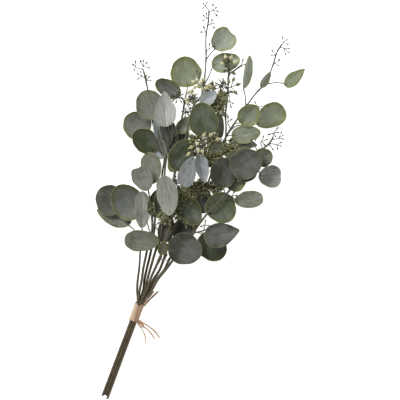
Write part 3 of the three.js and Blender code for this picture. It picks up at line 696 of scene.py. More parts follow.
# %% Nut shapes
NUTS = {
    "bud": {
        "length": 4.6, "reach": 1.1, "radius": 1.3, "bead": 1.9, "sides": 6, "scales": (0.85, 1.2),
        "profile": ((0, 0.3), (0.14, 0.6), (0.36, 1), (0.52, 0.95), (0.68, 0.6), (1, 0.08)),
    },
    "olive": {
        "length": 6.4, "reach": 1.15, "radius": 2.2, "bead": 2.4, "sides": 8, "scales": (0.95, 1.45),
        "profile": ((0, 0.2), (0.1, 0.55), (0.28, 0.96), (0.44, 1), (0.52, 0.82), (0.68, 0.42), (1, 0.06)),
    },
    "green": {
        "length": 8, "reach": 1.1, "radius": 2.4, "bead": 2.4, "sides": 8, "scales": (0.9, 1.2),
        "profile": ((0, 0.18), (0.1, 0.45), (0.3, 0.9), (0.48, 1), (0.58, 0.84), (0.74, 0.5), (1, 0.08)),
    },
    "cream": {
        "length": 9, "reach": 1.1, "radius": 3, "bead": 2.4, "sides": 8, "scales": (0.9, 1.15),
        "profile": (
            (0, 0.16), (0.1, 0.42), (0.28, 0.88), (0.42, 1), (0.5, 0.86), (0.62, 0.5), (0.76, 0.25),
            (1, 0.06),
        ),
    },
}
POINTED_END = 1.02


def turned_mesh(name, profile, length, radius, sides):
    points, rings, widths = [], [], []
    for share, width in ((0, 0), *profile, (POINTED_END, 0)):
        turns = turns_round(sides if width else 1)
        rings.append(range(len(points), len(points) + len(turns)))
        out = radius * width
        points += [Vector((out * math.cos(turn), out * math.sin(turn), length * share)) for turn in turns]
        widths += [width] * len(turns)
    heights = [point.z / length for point in points]
    return make_mesh(name, points, faces=skin_faces(rings), nut_share=heights, ring_share=widths)


nut_shapes = {}
for kind, nut in NUTS.items():
    mesh = turned_mesh(kind, nut["profile"], nut["length"] * nut["reach"], nut["radius"], nut["sides"])
    nut_shapes[kind] = bpy.data.objects.new("shape_" + kind, mesh)
    print(kind, len(mesh.polygons), "faces")

# %% [markdown]
# In a loose spray each nut has its own place. In a heap they crowd round the hub like the seeds of a
# sunflower, each a golden turn further round than the last, which spreads them evenly without any rows. A
# heap holds a few times the nuts that can be counted from above, as most of them lie below.

# %% Places in a spray
GOLDEN_TURN = math.radians(137.5)
SPRAY_RISE, SPRAY_LEVEL = 5, 0.4
DOME, SQUASH = 1.2, 0.7
NEAREST, FARTHEST = 0.55, 1.3
REACH_STEP = 0.37
CROWD = 3.4


def nut_middles(spray, seed):
    kind, hub, *placing = spray
    if len(placing) == 1:
        rises = [SPRAY_RISE * (seeded_chance(seed + i) - SPRAY_LEVEL) for i in range(len(placing[0]))]
        return [place_at((*spot, hub[2] + rise)) for spot, rise in zip(placing[0], rises)]
    middles = []
    count, reach = round(placing[0] * CROWD), placing[1]
    for i in range(count):
        slope = 1 - DOME * (i + 0.5) / count
        flat = math.sqrt(1 - slope ** 2)
        turn = i * GOLDEN_TURN + seed
        out = Vector((flat * math.cos(turn), flat * math.sin(turn), slope * SQUASH))
        share = NEAREST + (FARTHEST - NEAREST) * seeded_chance(seed + i * REACH_STEP)
        middles.append(place_at(hub) + out * reach * share)
    return middles


all_sprays = [spray for sprig in SPRIGS.values() for spray in sprig.get("sprays", ())]
print(len(all_sprays), "sprays hold", sum(len(nut_middles(spray, 0)) for spray in all_sprays), "nuts")

# %% [markdown]
# A growing rule for everything that follows a path: a thin wire of edges carries a thickness at each point,
# and Geometry Nodes sweeps a circle along it. The tube keeps how far along the wire it is and how far
# round, so that the bark's grain can follow the branch. Caps close the ends.

# %% Tube rule
def tree_with(name, inputs):
    tree = bpy.data.node_groups.new(name, "GeometryNodeTree")
    sockets = [("Geometry", "OUTPUT", "Geometry"), ("Geometry", "INPUT", "Geometry")]
    for title, way, kind in sockets + [(title, "INPUT", kind) for title, kind in inputs.items()]:
        tree.interface.new_socket(title, in_out=way, socket_type="NodeSocket" + kind)
    return tree, tree.nodes.new("NodeGroupInput").outputs


def finish_tree(tree, grown, material):
    solid = add_node(tree, "GeometryNodeRealizeInstances", {"Geometry": grown})
    smooth = add_node(tree, "GeometryNodeSetShadeSmooth", {"Geometry": solid})
    painted = add_node(tree, "GeometryNodeSetMaterial", {"Geometry": smooth, "Material": material})
    add_node(tree, "NodeGroupOutput", {"Geometry": painted})
    print(tree.name, "has", len(tree.nodes), "nodes")


tube_tree, given = tree_with("tubes_along_wires", {"Sides": "Int", "Material": "Material"})
wires = add_node(tube_tree, "GeometryNodeMeshToCurve", {"Mesh": given["Geometry"]})
along_wire = add_node(tube_tree, "GeometryNodeSplineParameter").outputs["Length"]
marked = add_node(tube_tree, "GeometryNodeStoreNamedAttribute", {
    "Geometry": wires, "Name": "grain_along", "Value": along_wire})
circle = add_node(tube_tree, "GeometryNodeCurvePrimitiveCircle", {
    "Resolution": given["Sides"], "Radius": MM})
round_circle = add_node(tube_tree, "GeometryNodeSplineParameter").outputs["Factor"]
marked_circle = add_node(tube_tree, "GeometryNodeStoreNamedAttribute", {
    "Geometry": circle, "Name": "grain_round", "Value": round_circle})
thickness = add_node(tube_tree, "GeometryNodeInputNamedAttribute", {"Name": "thickness"}, data_type="FLOAT")
tubes = add_node(tube_tree, "GeometryNodeCurveToMesh", {
    "Curve": marked, "Profile Curve": marked_circle, "Scale": thickness, "Fill Caps": True})
finish_tree(tube_tree, tubes, given["Material"])

# %% [markdown]
# The second rule sets a nut at each point of a cloud, turns it to look along the point's own aim, spins it
# by a seeded amount and scales it a little, so that no two are quite alike. Each nut keeps a random tone.

# %% Nut rule
nut_tree, given = tree_with("nuts_on_stalks", {
    "Nut": "Object", "Smallest": "Float", "Largest": "Float", "Seed": "Int", "Material": "Material"})
shape = add_node(nut_tree, "GeometryNodeObjectInfo", {"Object": given["Nut"]}).outputs["Geometry"]
aim = add_node(nut_tree, "GeometryNodeInputNamedAttribute", {"Name": "aim"}, data_type="FLOAT_VECTOR")
aimed = add_node(nut_tree, "FunctionNodeAlignRotationToVector", {"Vector": aim}, axis="Z")
spin = add_node(nut_tree, "FunctionNodeRandomValue", {
    "Min": 0.0, "Max": TURN, "Seed": given["Seed"]}, data_type="FLOAT")
spun = add_node(nut_tree, "FunctionNodeAxisAngleToRotation", {"Axis": UP, "Angle": spin})
turned = add_node(nut_tree, "FunctionNodeRotateRotation", {0: aimed, 1: spun}, rotation_space="LOCAL")
growth = add_node(nut_tree, "FunctionNodeRandomValue", {
    "Min": given["Smallest"], "Max": given["Largest"], "Seed": given["Seed"]}, data_type="FLOAT")
placed = add_node(nut_tree, "GeometryNodeInstanceOnPoints", {
    "Points": given["Geometry"], "Instance": shape, "Rotation": turned, "Scale": growth})
number = add_node(nut_tree, "GeometryNodeInputIndex")
tone = add_node(nut_tree, "FunctionNodeRandomValue", {
    "Min": 0.0, "Max": 1.0, "Seed": given["Seed"], "ID": number}, data_type="FLOAT")
toned = add_node(nut_tree, "GeometryNodeStoreNamedAttribute", {
    "Geometry": placed, "Name": "nut_tone", "Value": tone}, domain="INSTANCE")
finish_tree(nut_tree, toned, given["Material"])

# %% [markdown]
# Every finish here is built up in layers, as real ones are: a ground colour, then one colour over another
# wherever a mask goes from its start to its end, and covering at most so much. The last step is the same
# for all of them too: a relief from the same pattern, and one surface with its own roughness.

# %% Layers of a finish
def colour_over(tree, under, colour, mask, start, end, most=1.0, ramp="SMOOTHSTEP", blend="MIX"):
    cover = add_node(tree, "ShaderNodeMapRange", {
        "Value": mask, "From Min": start, "From Max": end, "To Max": most}, interpolation_type=ramp)
    return add_node(tree, "ShaderNodeMix", {
        "Factor": cover, "A": under, "B": colour}, data_type="RGBA", blend_type=blend)


def finish_surface(material, colour, relief, strength, depth_mm, roughness, ior=1.45):
    tree = material.node_tree
    bump = add_node(tree, "ShaderNodeBump", {
        "Height": relief, "Strength": strength, "Distance": depth_mm * MM})
    skin = add_node(tree, "ShaderNodeBsdfPrincipled", {
        "Base Color": colour, "Roughness": roughness, "IOR": ior, "Normal": bump})
    add_node(tree, "ShaderNodeOutputMaterial", {"Surface": skin})
    print(material.name, len(tree.nodes), "nodes")


# %% [markdown]
# A eucalyptus leaf is a leathery blade under a thin waxy bloom. The bloom makes it matt and a little grey
# in the middle, the blade shows greener and yellower towards its rim, and the rim is a thin olive line.
# Side veins slant out of the midrib, and the skin between them is brushed with streaks along the leaf,
# partly the leaf's own fine striations and partly a painted sheen along its folds.
# All of this is drawn from the leaf's own millimetres, so it follows each leaf whatever way it is turned.

# %% Leaf material: patterns of the blade
STREAK_MM, STREAK_LONG_MM = 1.5, 16
MOTTLE_MM, CLOUD_MM = 11, 22
GRAIN_MM = 1.1

leaf_material, tree, rim_distance, rim_strength = new_material(
    "waxy_eucalyptus_leaf", "leaf_edge", "leaf_rim")
skin_tone = add_node(tree, "ShaderNodeAttribute", attribute_name="leaf_tone")
leaf_place = add_node(tree, "ShaderNodeAttribute", attribute_name="leaf_place").outputs["Vector"]
own_axes = add_node(tree, "ShaderNodeSeparateXYZ", {0: leaf_place}).outputs
streak_place = add_node(tree, "ShaderNodeMapping", {
    "Vector": leaf_place, "Scale": (1 / STREAK_LONG_MM, 1 / STREAK_MM, 1)})
streaks = add_node(tree, "ShaderNodeTexNoise", {"Vector": streak_place, "Scale": 1.0, "Detail": 3.0})
mottling = add_node(tree, "ShaderNodeTexNoise", {
    "Vector": leaf_place, "Scale": 1 / MOTTLE_MM, "Detail": 4.0, "Roughness": 0.6})
clouds = add_node(tree, "ShaderNodeTexNoise", {
    "Vector": leaf_place, "Scale": 1 / CLOUD_MM, "Detail": 2.0})
grain = add_node(tree, "ShaderNodeTexNoise", {"Vector": leaf_place, "Scale": 1 / GRAIN_MM, "Detail": 2.0})
print("a leaf is mottled in patches of", MOTTLE_MM, "mm and brushed with streaks of", STREAK_MM, "mm")

# %% [markdown]
# The midrib is a line along the middle of the leaf. Side veins are a row of lines that slant towards the
# tip on their way out, and stray a little with the mottling. The remainder of a place in that row says how
# far it is from the next vein. The real veins are finer than a pixel here, and are drawn about half a
# millimetre wide so that they show.

# %% Leaf material: veins
MIDRIB_HALF_MM, MIDRIB_FADED_MM = 0.2, 1.0
VEIN_SPACING_MM, VEIN_WANDER_MM = 4.6, 3.68
VEIN_WIDTH, VEIN_HEIGHT = 0.14, 0.3
VEIN_SLANT = 0.62

aside = add_node(tree, "ShaderNodeMath", {0: own_axes["Y"]}, operation="ABSOLUTE")
lag = add_node(tree, "ShaderNodeMath", {0: aside, 1: VEIN_SLANT}, operation="MULTIPLY")
wander = add_node(tree, "ShaderNodeMath", {0: mottling, 1: VEIN_WANDER_MM}, operation="MULTIPLY")
from_vein = own_axes["X"]
for operation, operand in (
    ("SUBTRACT", lag), ("ADD", wander), ("DIVIDE", VEIN_SPACING_MM), ("FRACT", 0), ("SUBTRACT", 0.5),
    ("ABSOLUTE", 0),
):
    from_vein = add_node(tree, "ShaderNodeMath", {0: from_vein, 1: operand}, operation=operation)
veins = 0.0
for distance, start, end, height in (
    (from_vein, VEIN_WIDTH, 0.0, VEIN_HEIGHT), (aside, MIDRIB_FADED_MM, MIDRIB_HALF_MM, 1.0),
):
    vein = add_node(tree, "ShaderNodeMapRange", {
        "Value": distance, "From Min": start, "From Max": end, "To Max": height},
        interpolation_type="SMOOTHSTEP")
    veins = add_node(tree, "ShaderNodeMath", {0: veins, 1: vein}, operation="MAXIMUM")
print("side veins lie", VEIN_SPACING_MM, "mm apart")

# %% [markdown]
# The skin's colour is made lighter and darker by the mottling and by the streaks, which are partly fine
# striations and partly a painted sheen. Bloom, a few rusty patches, the green border, the veins and the
# rim's line then go over it one by one. The bloom is also rougher where it is thick, so the leaf has dull
# and silky places.

# %% Leaf material: colours and surface
RIM_MM, RIM_INNER_MM = 0.36, 0.9
RIM_COVER, VEIN_COVER = 0.75, 0.07
GREEN_FROM_MM, GREEN_TO_MM = 0.5, 8.0

# Streaks along the leaf, lighter and darker: partly its own striations, partly painted sheen.
streaks_and_painted_sheen = add_node(tree, "ShaderNodeMapRange", {
    "Value": streaks, "From Min": 0.34, "From Max": 0.66, "To Min": 0.7, "To Max": 1.28})
patches = add_node(tree, "ShaderNodeMapRange", {
    "Value": mottling, "From Min": 0.3, "From Max": 0.7, "To Min": 0.74, "To Max": 1.22})
lightness = add_node(tree, "ShaderNodeMath", {0: streaks_and_painted_sheen, 1: patches}, operation="MULTIPLY")
shading = add_node(tree, "ShaderNodeCombineColor", {0: lightness, 1: lightness, 2: lightness})
body = add_node(tree, "ShaderNodeMix", {
    "Factor": 1.0, "A": skin_tone, "B": shading}, data_type="RGBA", blend_type="MULTIPLY")
bloom = add_node(tree, "ShaderNodeMix", {"Factor": 0.42, "A": skin_tone, "B": "#83898d"}, data_type="RGBA")
waxed = colour_over(tree, body, bloom, clouds, 0.42, 0.66, most=0.45)
rusted = colour_over(tree, waxed, "#665d4c", mottling, 0.56, 0.74, most=0.2)
greened = colour_over(
    tree, rusted, "#eeefac", rim_distance, GREEN_TO_MM, GREEN_FROM_MM, most=rim_strength, blend="MULTIPLY")
veined = colour_over(tree, greened, "#a6a986", veins, 0.0, 1.0, most=VEIN_COVER, ramp="LINEAR")
rim_cover = add_node(tree, "ShaderNodeMath", {0: rim_strength, 1: RIM_COVER}, operation="MULTIPLY")
rimmed = colour_over(tree, veined, "#868a62", rim_distance, RIM_INNER_MM, RIM_MM, most=rim_cover)

sunken = add_node(tree, "ShaderNodeMath", {0: veins, 1: -0.5}, operation="MULTIPLY")
relief = add_node(tree, "ShaderNodeMath", {0: sunken, 1: grain}, operation="ADD")
brushed_relief = add_node(tree, "ShaderNodeMath", {0: relief, 1: streaks}, operation="ADD")
dullness = add_node(tree, "ShaderNodeMapRange", {
    "Value": clouds, "From Min": 0.35, "From Max": 0.65, "To Min": 0.42, "To Max": 0.6})
finish_surface(
    leaf_material, rimmed, brushed_relief, strength=0.5, depth_mm=0.4, roughness=dullness, ior=1.42)

# %% [markdown]
# The bark of a young stem is thin and smooth with fine lengthwise furrows, brown where the stem is old and
# olive where it is young, and a leaf's midrib is paler still. Grain runs along the branch, so the noise is
# stretched along the tube.

# %% Bark material: thin furrowed bark
FURROW_MM = 1.2
FURROW_STRETCH = 0.12
GRAIN_RADIUS_MM = 4
BLOTCH_MM = 5
YOUNG, OLD = 0.3, 0.85
RIB_AGE = -1

bark_material, tree, age, grain_along, grain_round = new_material(
    "thin_furrowed_bark", "age", "grain_along", "grain_round")
space = add_node(tree, "ShaderNodeTexCoord").outputs["Object"]
angle = add_node(tree, "ShaderNodeMath", {0: grain_round, 1: TURN}, operation="MULTIPLY")
cosine = add_node(tree, "ShaderNodeMath", {0: angle}, operation="COSINE")
sine = add_node(tree, "ShaderNodeMath", {0: angle}, operation="SINE")
grain_place = add_node(tree, "ShaderNodeCombineXYZ", {0: grain_along, 1: cosine, 2: sine})
stretched = add_node(tree, "ShaderNodeMapping", {
    "Vector": grain_place, "Scale": (FURROW_STRETCH, GRAIN_RADIUS_MM * MM, GRAIN_RADIUS_MM * MM)})
furrows = add_node(tree, "ShaderNodeTexNoise", {
    "Vector": stretched, "Scale": 1 / (FURROW_MM * MM), "Detail": 4.0, "Roughness": 0.6})
blotches = add_node(tree, "ShaderNodeTexNoise", {
    "Vector": space, "Scale": 1 / (BLOTCH_MM * MM), "Detail": 3.0})
barked = colour_over(tree, "#565447", "#4a3f2a", age, YOUNG, OLD, ramp="LINEAR")
ribbed = colour_over(tree, barked, "#7c7e70", age, 0.0, RIB_AGE, ramp="LINEAR")
furrow_tone = colour_over(tree, "#7e8170", "#7a6d4c", age, YOUNG, OLD, ramp="LINEAR")
streaked = colour_over(tree, ribbed, furrow_tone, furrows, 0.45, 0.68, most=0.6)
spotted = colour_over(tree, streaked, "#322a1c", blotches, 0.5, 0.7, most=0.5)
finish_surface(bark_material, spotted, furrows, strength=0.7, depth_mm=0.3, roughness=0.68)

# %% [markdown]
# A gum nut is a woody capsule. Young ones are dark green, ripening through olive to a pale straw colour,
# and the pointed cap is paler or browner than the cup below it. The four kinds share one recipe, and each
# takes its own colours for cup, cap and freckles.

# %% Nut materials: woody capsules of four kinds
PORE_MM = 1
NUT_LOOKS = {
    "bud": ("dark_young_bud", "#4b4b3f", "#67665a", "#35342b"),
    "olive": ("olive_gum_nut", "#636644", "#98966c", "#363823"),
    "green": ("plump_green_gum_nut", "#707453", "#96966f", "#4b4e35"),
    "cream": ("ripe_straw_gum_nut", "#c9c49a", "#ece4c8", "#8a8653"),
}


def nut_material(name, cup, cap, freckle):
    material, tree, share, tone = new_material(name, "nut_share", "nut_tone")
    space = add_node(tree, "ShaderNodeTexCoord").outputs["Object"]
    pores = add_node(tree, "ShaderNodeTexNoise", {
        "Vector": space, "Scale": 1 / (PORE_MM * MM), "Detail": 3.0})
    capped = colour_over(tree, cup, cap, share, 0.38, 0.55)
    varied = colour_over(tree, capped, freckle, tone, 0.0, 1.0, most=0.65, ramp="LINEAR")
    freckled = colour_over(tree, varied, freckle, pores, 0.52, 0.68, most=0.5)
    finish_surface(material, freckled, pores, strength=0.5, depth_mm=0.25, roughness=0.6)
    return material


nut_materials = {kind: nut_material(*look) for kind, look in NUT_LOOKS.items()}

# %% [markdown]
# Raffia is dried palm leaf, torn into flat strips. It is straw coloured and matt, with fine parallel fibres
# along each strip, some darker than others, and it bleaches towards its torn ends. Each strip keeps a
# paleness at every point, from brown to nearly white. On the loose ends it is how bleached the fibre is; on
# the wrap it also holds painted light on the left side and painted shade along the deep fold.

# %% Raffia material: dried palm fibre
FIBRE_MM = 0.7
STAIN_MM = 4

raffia_material, tree, bleaching = new_material("dried_raffia_fibre", "bleaching")
space = add_node(tree, "ShaderNodeTexCoord").outputs["Object"]
fibre_place = add_node(tree, "ShaderNodeAttribute", attribute_name="fibre_place").outputs["Vector"]
fibres = add_node(tree, "ShaderNodeTexNoise", {
    "Vector": fibre_place, "Scale": 1 / (FIBRE_MM * MM), "Detail": 4.0, "Roughness": 0.65})
stains = add_node(tree, "ShaderNodeTexNoise", {
    "Vector": space, "Scale": 1 / (STAIN_MM * MM), "Detail": 3.0})
# brown to straw by paleness, which on the wrap holds painted light and painted shade
tan = colour_over(tree, "#947458", "#bda388", bleaching, 0.0, 0.5, ramp="LINEAR")
straw = colour_over(tree, tan, "#e2d2c0", bleaching, 0.5, 1.0, ramp="LINEAR")
threaded = colour_over(tree, straw, "#94704e", fibres, 0.66, 0.4, most=0.45)
stained = colour_over(tree, threaded, "#9c8a62", stains, 0.52, 0.75, most=0.3)
finish_surface(raffia_material, stained, fibres, strength=0.9, depth_mm=0.4, roughness=0.8)

# %% [markdown]
# The cut ends show pale wood with a darker heart, saw marks too fine to draw and a ring of bark round them.

# %% Cut wood material: end grain of a twig
WOOD_PORE_MM = 0.5

wood_material, tree, ring_share = new_material("cut_twig_end_grain", "ring_share")
space = add_node(tree, "ShaderNodeTexCoord").outputs["Object"]
pores = add_node(tree, "ShaderNodeTexNoise", {
    "Vector": space, "Scale": 1 / (WOOD_PORE_MM * MM), "Detail": 3.0})
hearted = colour_over(tree, "#6a543a", "#a8916c", ring_share, 0.12, 0.4)
barked = colour_over(tree, hearted, "#4a3f30", ring_share, 0.72, 0.95)
pored = colour_over(tree, barked, "#5b4934", pores, 0.5, 0.7, most=0.4)
finish_surface(wood_material, pored, pores, strength=0.5, depth_mm=0.2, roughness=0.85)

# %% [markdown]
# Every finished piece rides on the one body of this model, stands for the solid that it replaces, and takes
# the finish that it is given. A growing rule is applied here too: it is given its sizes by their sockets,
# evaluated once, and turned into a plain mesh.

# %% Piece helpers
def add_piece(name, mesh, material, node):
    mesh.materials.clear()
    mesh.materials.append(material)
    piece = put_in_scene(name, mesh)
    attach(piece, "root")
    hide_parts(node)
    print(name, len(mesh.polygons), "faces")


def grow(source, tree, sizes):
    holder = put_in_scene("growing", source)
    rule = holder.modifiers.new("growing_rule", "NODES")
    rule.node_group = tree
    for socket in tree.interface.items_tree:
        if socket.in_out == "INPUT" and socket.name in sizes:
            rule[socket.identifier] = sizes[socket.name]
    graph = bpy.context.evaluated_depsgraph_get()
    mesh = bpy.data.meshes.new_from_object(
        holder.evaluated_get(graph), preserve_all_data_layers=True, depsgraph=graph)
    holder.modifiers.remove(rule)
    bpy.data.objects.remove(holder)
    return mesh


# %% [markdown]
# Now each sprig grows in the order that a plant does: the stem, its twigs, its leaves on their petioles,
# and its sprays on their stalks. Each woody part is a wire that has a thickness and an age at its root and
# at its tip. The branches swell into a knuckle where a shoot leaves them, as real stems do, and then one
# tube rule makes them solid. A small disc of end grain closes each cut stem.

# %% Woody parts
STEM_AGES = (1, 0.3)
TWIG_MM, TWIG_AGES, TWIG_STEP = (0.95, 0.75), (0.4, 0.2), 2
PETIOLE_MM, PETIOLE_AGES, PETIOLE_STEPS = (0.9, 0.55), (0.25, -0.2), 12
RIB_MM, RIB_AGES = (0.42, 0.16), (RIB_AGE, RIB_AGE)
SPRAY_MM, SPRAY_AGES, SPRAY_STEPS = (0.8, 0.65), (0.3, 0.1), 8
HUB_MM = 1.0
STALK_MM, STALK_SWELL, STALK_AGE = 0.55, 1.3, 0.1
KNUCKLE, KNUCKLE_REACH = 0.32, 3.5
CUT_PROFILE = ((0, 1.02), (0.8, 1.02), (0.95, 0.94), (1, 0.5))
CUT_DEPTH_MM, CUT_SUNK = 1, 0.7
CUT_SIDES = 18


def tapered(path, root, tip):
    last = len(path) - 1
    return [root + (tip - root) * k / last for k in range(len(path))]


def tapered_wire(path, sizes, ages):
    return [path, tapered(path, *sizes), tapered(path, *ages)]


def wire_mesh(wires):
    points, edges, thickness, age = [], [], [], []
    for path, sizes, ages in wires:
        edges += [(len(points) + k, len(points) + k + 1) for k in range(len(path) - 1)]
        points += path
        thickness += sizes
        age += ages
    return make_mesh("wires", points, edges, thickness=thickness, age=age)


def with_knuckles(path, thickness, places):
    swellings = [
        max([math.exp(-((point - place).length / KNUCKLE_REACH) ** 2) for place in places] + [0])
        for point in path
    ]
    return [size * (1 + KNUCKLE * swelling) for size, swelling in zip(thickness, swellings)]


def cut_end_mesh(stem):
    out = (stem[0] - stem[1]).normalized()
    mesh = turned_mesh("cut_end", CUT_PROFILE, CUT_DEPTH_MM, STEM_BUTT_MM, CUT_SIDES)
    start = stem[0] - out * CUT_DEPTH_MM * CUT_SUNK
    mesh.transform(Matrix.Translation(start * MM) @ out.to_track_quat("Z", "Y").to_matrix().to_4x4())
    return mesh


print("a petiole tapers over four points as", [round(size, 2) for size in tapered(range(4), *PETIOLE_MM)])

# %% [markdown]
# Each leaf and spray has a seed of its own, counted from its sprig's number, so one of them can be changed
# without changing any other. A nut sits at the end of a short stalk from its spray's hub, far enough out to
# clear the hub's own swelling. Where there is room, its middle lies where the catalogue says.

# %% Twigs, leaves and sprays
LEAF_SEEDS, SPRAY_SEEDS = 100, 10
PETIOLE_SEEDS, STALK_SEEDS = 7, 9
HUB_CLEAR = 0.7


def grow_branches(sprig, stem):
    branches = [[point for point in stem if point.y > TIE_LENGTH]]
    wires = [[stem, stem_thickness(stem), tapered(stem, *STEM_AGES)]]
    for twig in sprig.get("twigs", ()):
        places = [place_at(place) for place in twig]
        places[0], _ = growth_point(branches, places[0])
        branches.append(smooth_points(places, TWIG_STEP))
        wires.append(tapered_wire(branches[-1], TWIG_MM, TWIG_AGES))
    return branches, wires


def grow_leaves(sprig, branches, index):
    marks = ("points", "faces", "leaf_place", "leaf_edge", "leaf_rim", "leaf_tone")
    sheets, wires = {mark: [] for mark in marks}, []
    for i, row in enumerate(sprig["leaves"]):
        joint, along, rib = add_leaf(sheets, row, LEAF_SEEDS * index + i)
        path = shoot_points(branches, joint, along, PETIOLE_STEPS, PETIOLE_SEEDS * index + i)
        wires.append(tapered_wire(path, PETIOLE_MM, PETIOLE_AGES))
        wires.append(tapered_wire([joint] + rib, RIB_MM, RIB_AGES))
    return sheets, wires


def grow_sprays(sprig, branches, index):
    clouds, wires = {kind: ([], []) for kind in NUTS}, []
    for i, spray in enumerate(sprig.get("sprays", ())):
        nut, hub = NUTS[spray[0]], place_at(spray[1])
        points, aims = clouds[spray[0]]
        middles = nut_middles(spray, LEAF_SEEDS * index + SPRAY_SEEDS * i)
        heart = sum(middles, Vector()) / len(middles)
        path = shoot_points(branches, hub, (heart - hub).normalized(), SPRAY_STEPS, STALK_SEEDS * index + i)
        wires.append(tapered_wire(path, SPRAY_MM, SPRAY_AGES))
        wires[-1][1][-1] = HUB_MM
        for middle in middles:
            way = middle - hub
            start = max(nut["bead"] * HUB_CLEAR, way.length - nut["length"] / 2)
            aims.append(way.normalized())
            points.append(hub + aims[-1] * start)
            stalk = [hub, (hub + points[-1]) / 2, points[-1] + aims[-1] * STALK_MM]
            swollen = STALK_MM * STALK_SWELL
            wires.append([stalk, [swollen, STALK_MM, swollen], [STALK_AGE] * len(stalk)])
    return clouds, wires


for index, (name, sprig) in enumerate(SPRIGS.items(), start=1):
    branches, _ = grow_branches(sprig, stem_points(sprig, index))
    _, stalks = grow_sprays(sprig, branches, index)
    print(name, "twigs:", len(branches) - 1, "stalks in its sprays:", len(stalks))

# %% [markdown]
# A whole sprig is one set of bark tubes, one mesh of leaves, one cut end and a mesh for each kind of nut.
# Each of them is a piece of its own, because each has its own finish.

# %% Whole sprigs
NUT_SEED = 11
TUBE_SIDES = 9


def grow_sprig(name, sprig, index):
    stem = stem_points(sprig, index)
    branches, wood = grow_branches(sprig, stem)
    sheets, petioles = grow_leaves(sprig, branches, index)
    clouds, stalks = grow_sprays(sprig, branches, index)
    roots = [path[0] for path, _, _ in wood[1:] + petioles + stalks]
    for wire in wood:
        wire[1] = with_knuckles(wire[0], wire[1], roots)
    wires = wire_mesh(wood + petioles + stalks)
    bark = grow(wires, tube_tree, {"Sides": TUBE_SIDES, "Material": bark_material})

    add_piece(name + "_bark", bark, bark_material, name)
    add_piece(name + "_leaves", make_mesh(name + "_leaves", **sheets), leaf_material, name)
    add_piece(name + "_cut_end", cut_end_mesh(stem), wood_material, name)
    for kind, (points, aims) in clouds.items():
        if points:
            smallest, largest = NUTS[kind]["scales"]
            nuts = grow(make_mesh("cloud", points, aim=aims), nut_tree, {
                "Nut": nut_shapes[kind], "Smallest": smallest, "Largest": largest,
                "Seed": NUT_SEED + index, "Material": nut_materials[kind]})
            add_piece(f"{name}_{kind}_nuts", nuts, nut_materials[kind], name)


for index, (name, sprig) in enumerate(SPRIGS.items(), start=1):
    grow_sprig(name, sprig, index)
for shape in nut_shapes.values():
    bpy.data.objects.remove(shape)

# %% [markdown]
# The wrap is a handful of raffia strips pulled tight round the stems. Seen close, the strips lie along the
# bundle in pleats. One deep fold, sunk into the wall and darkened with painted shade, runs from the notch at
# the top, where the stems come out, down to the right, and the strips left of it are made paler with painted
# light. The sleeve is a closed wall with the pleats in it, and stays round the stems' own bore. Pleats, torn
# edges and streaks are sums of a few waves round the sleeve, each with its height, how many there are, and
# how it drifts along the sleeve.

# %% Pleats and folds of the wrap
WRAP_OUTER = 6.5
WRAP_LEFT, WRAP_WIDENING = 0.7, 0.6
PLEAT, PLEAT_WAVES = 0.34, ((0.5, 14, 0, 0, 1.5), (0.3, 23, 4, 1, 0), (0.2, 37, -7, 0, 0))
WOBBLE_WAVES = 5
FOLD_DEPTH, FOLD_WIDTH, FOLD_SWEEP = 0.6, 0.16, 0.55
FLARES = ((0, 0.45, 0.2), (1, 0.27, 0.15))
TORN_WAVES = ((0.5, 3, 1), (0.35, 11, 2), (0.3, 29, 1))
# Painted light makes the wrap paler on its left side, and painted shade darkens it along the fold.
MID_BLEACH, LEFT_PAINTED_LIGHT = 0.5, 0.4
FOLD_SHADE, SHADE_WIDTH = 0.42, 0.22
STREAK_BLEACH, STREAK_WAVES, STREAK_DRIFT = 0.1, 31, 3


def near(value, middle, width):
    return math.exp(-((value - middle) / width) ** 2)


def near_fold(turn, share, width):
    return near(turn, TURN / 4 - FOLD_SWEEP * (1 - share), width)


def wrap_radius(turn, share):
    pleats = sum(
        height * math.sin(waves * turn + drift * share + phase + wobble * math.sin(WOBBLE_WAVES * share))
        for height, waves, drift, phase, wobble in PLEAT_WAVES
    )
    flare = sum(size * near(share, end, width) for end, size, width in FLARES)
    radius = WRAP_OUTER + WRAP_LEFT * max(0, -math.cos(turn)) + WRAP_WIDENING * share
    return radius + PLEAT * pleats - FOLD_DEPTH * near_fold(turn, share, FOLD_WIDTH) + flare


# The wrap's paleness: painted light on the left side, painted shade along the fold, and the fibre's own
# streaks.
def wrap_bleaching(turn, share):
    lit = MID_BLEACH + LEFT_PAINTED_LIGHT * max(0, -math.cos(turn))
    streak = STREAK_BLEACH * math.sin(STREAK_WAVES * turn + STREAK_DRIFT * share)
    return lit - FOLD_SHADE * near_fold(turn, share, SHADE_WIDTH) + streak


def torn_edge(turn, edge):
    return sum(height * math.sin(waves * turn + pace * edge) for height, waves, pace in TORN_WAVES)


half_way_up = [wrap_radius(turn, 0.5) for turn in turns_round(360)]
print("half way up the wrap is", round(min(half_way_up), 1), "to", round(max(half_way_up), 1), "mm out")

# %% [markdown]
# The sleeve is drawn as rings from its lower edge to its upper one outside, and back down inside, which
# closes the wall. Where it rests on the table it is flat. Each point keeps its paleness, which holds painted
# light on the left, painted shade in the fold and the fibre's own streaks.

# %% Raffia wrap
WRAP_ROUND, WRAP_ALONG = 120, 30
WRAP_INNER = 5.8
OUTER_REST, INNER_REST = 0.02, 0.35
WRAP_TRIM, WRAP_DROP = 0.8, 1.9
NOTCH_DEPTH, NOTCH_WIDTH = 3.6, 0.42
LOW_EDGE, HIGH_EDGE = 1, 4
FIBRE_STRETCH = 0.1


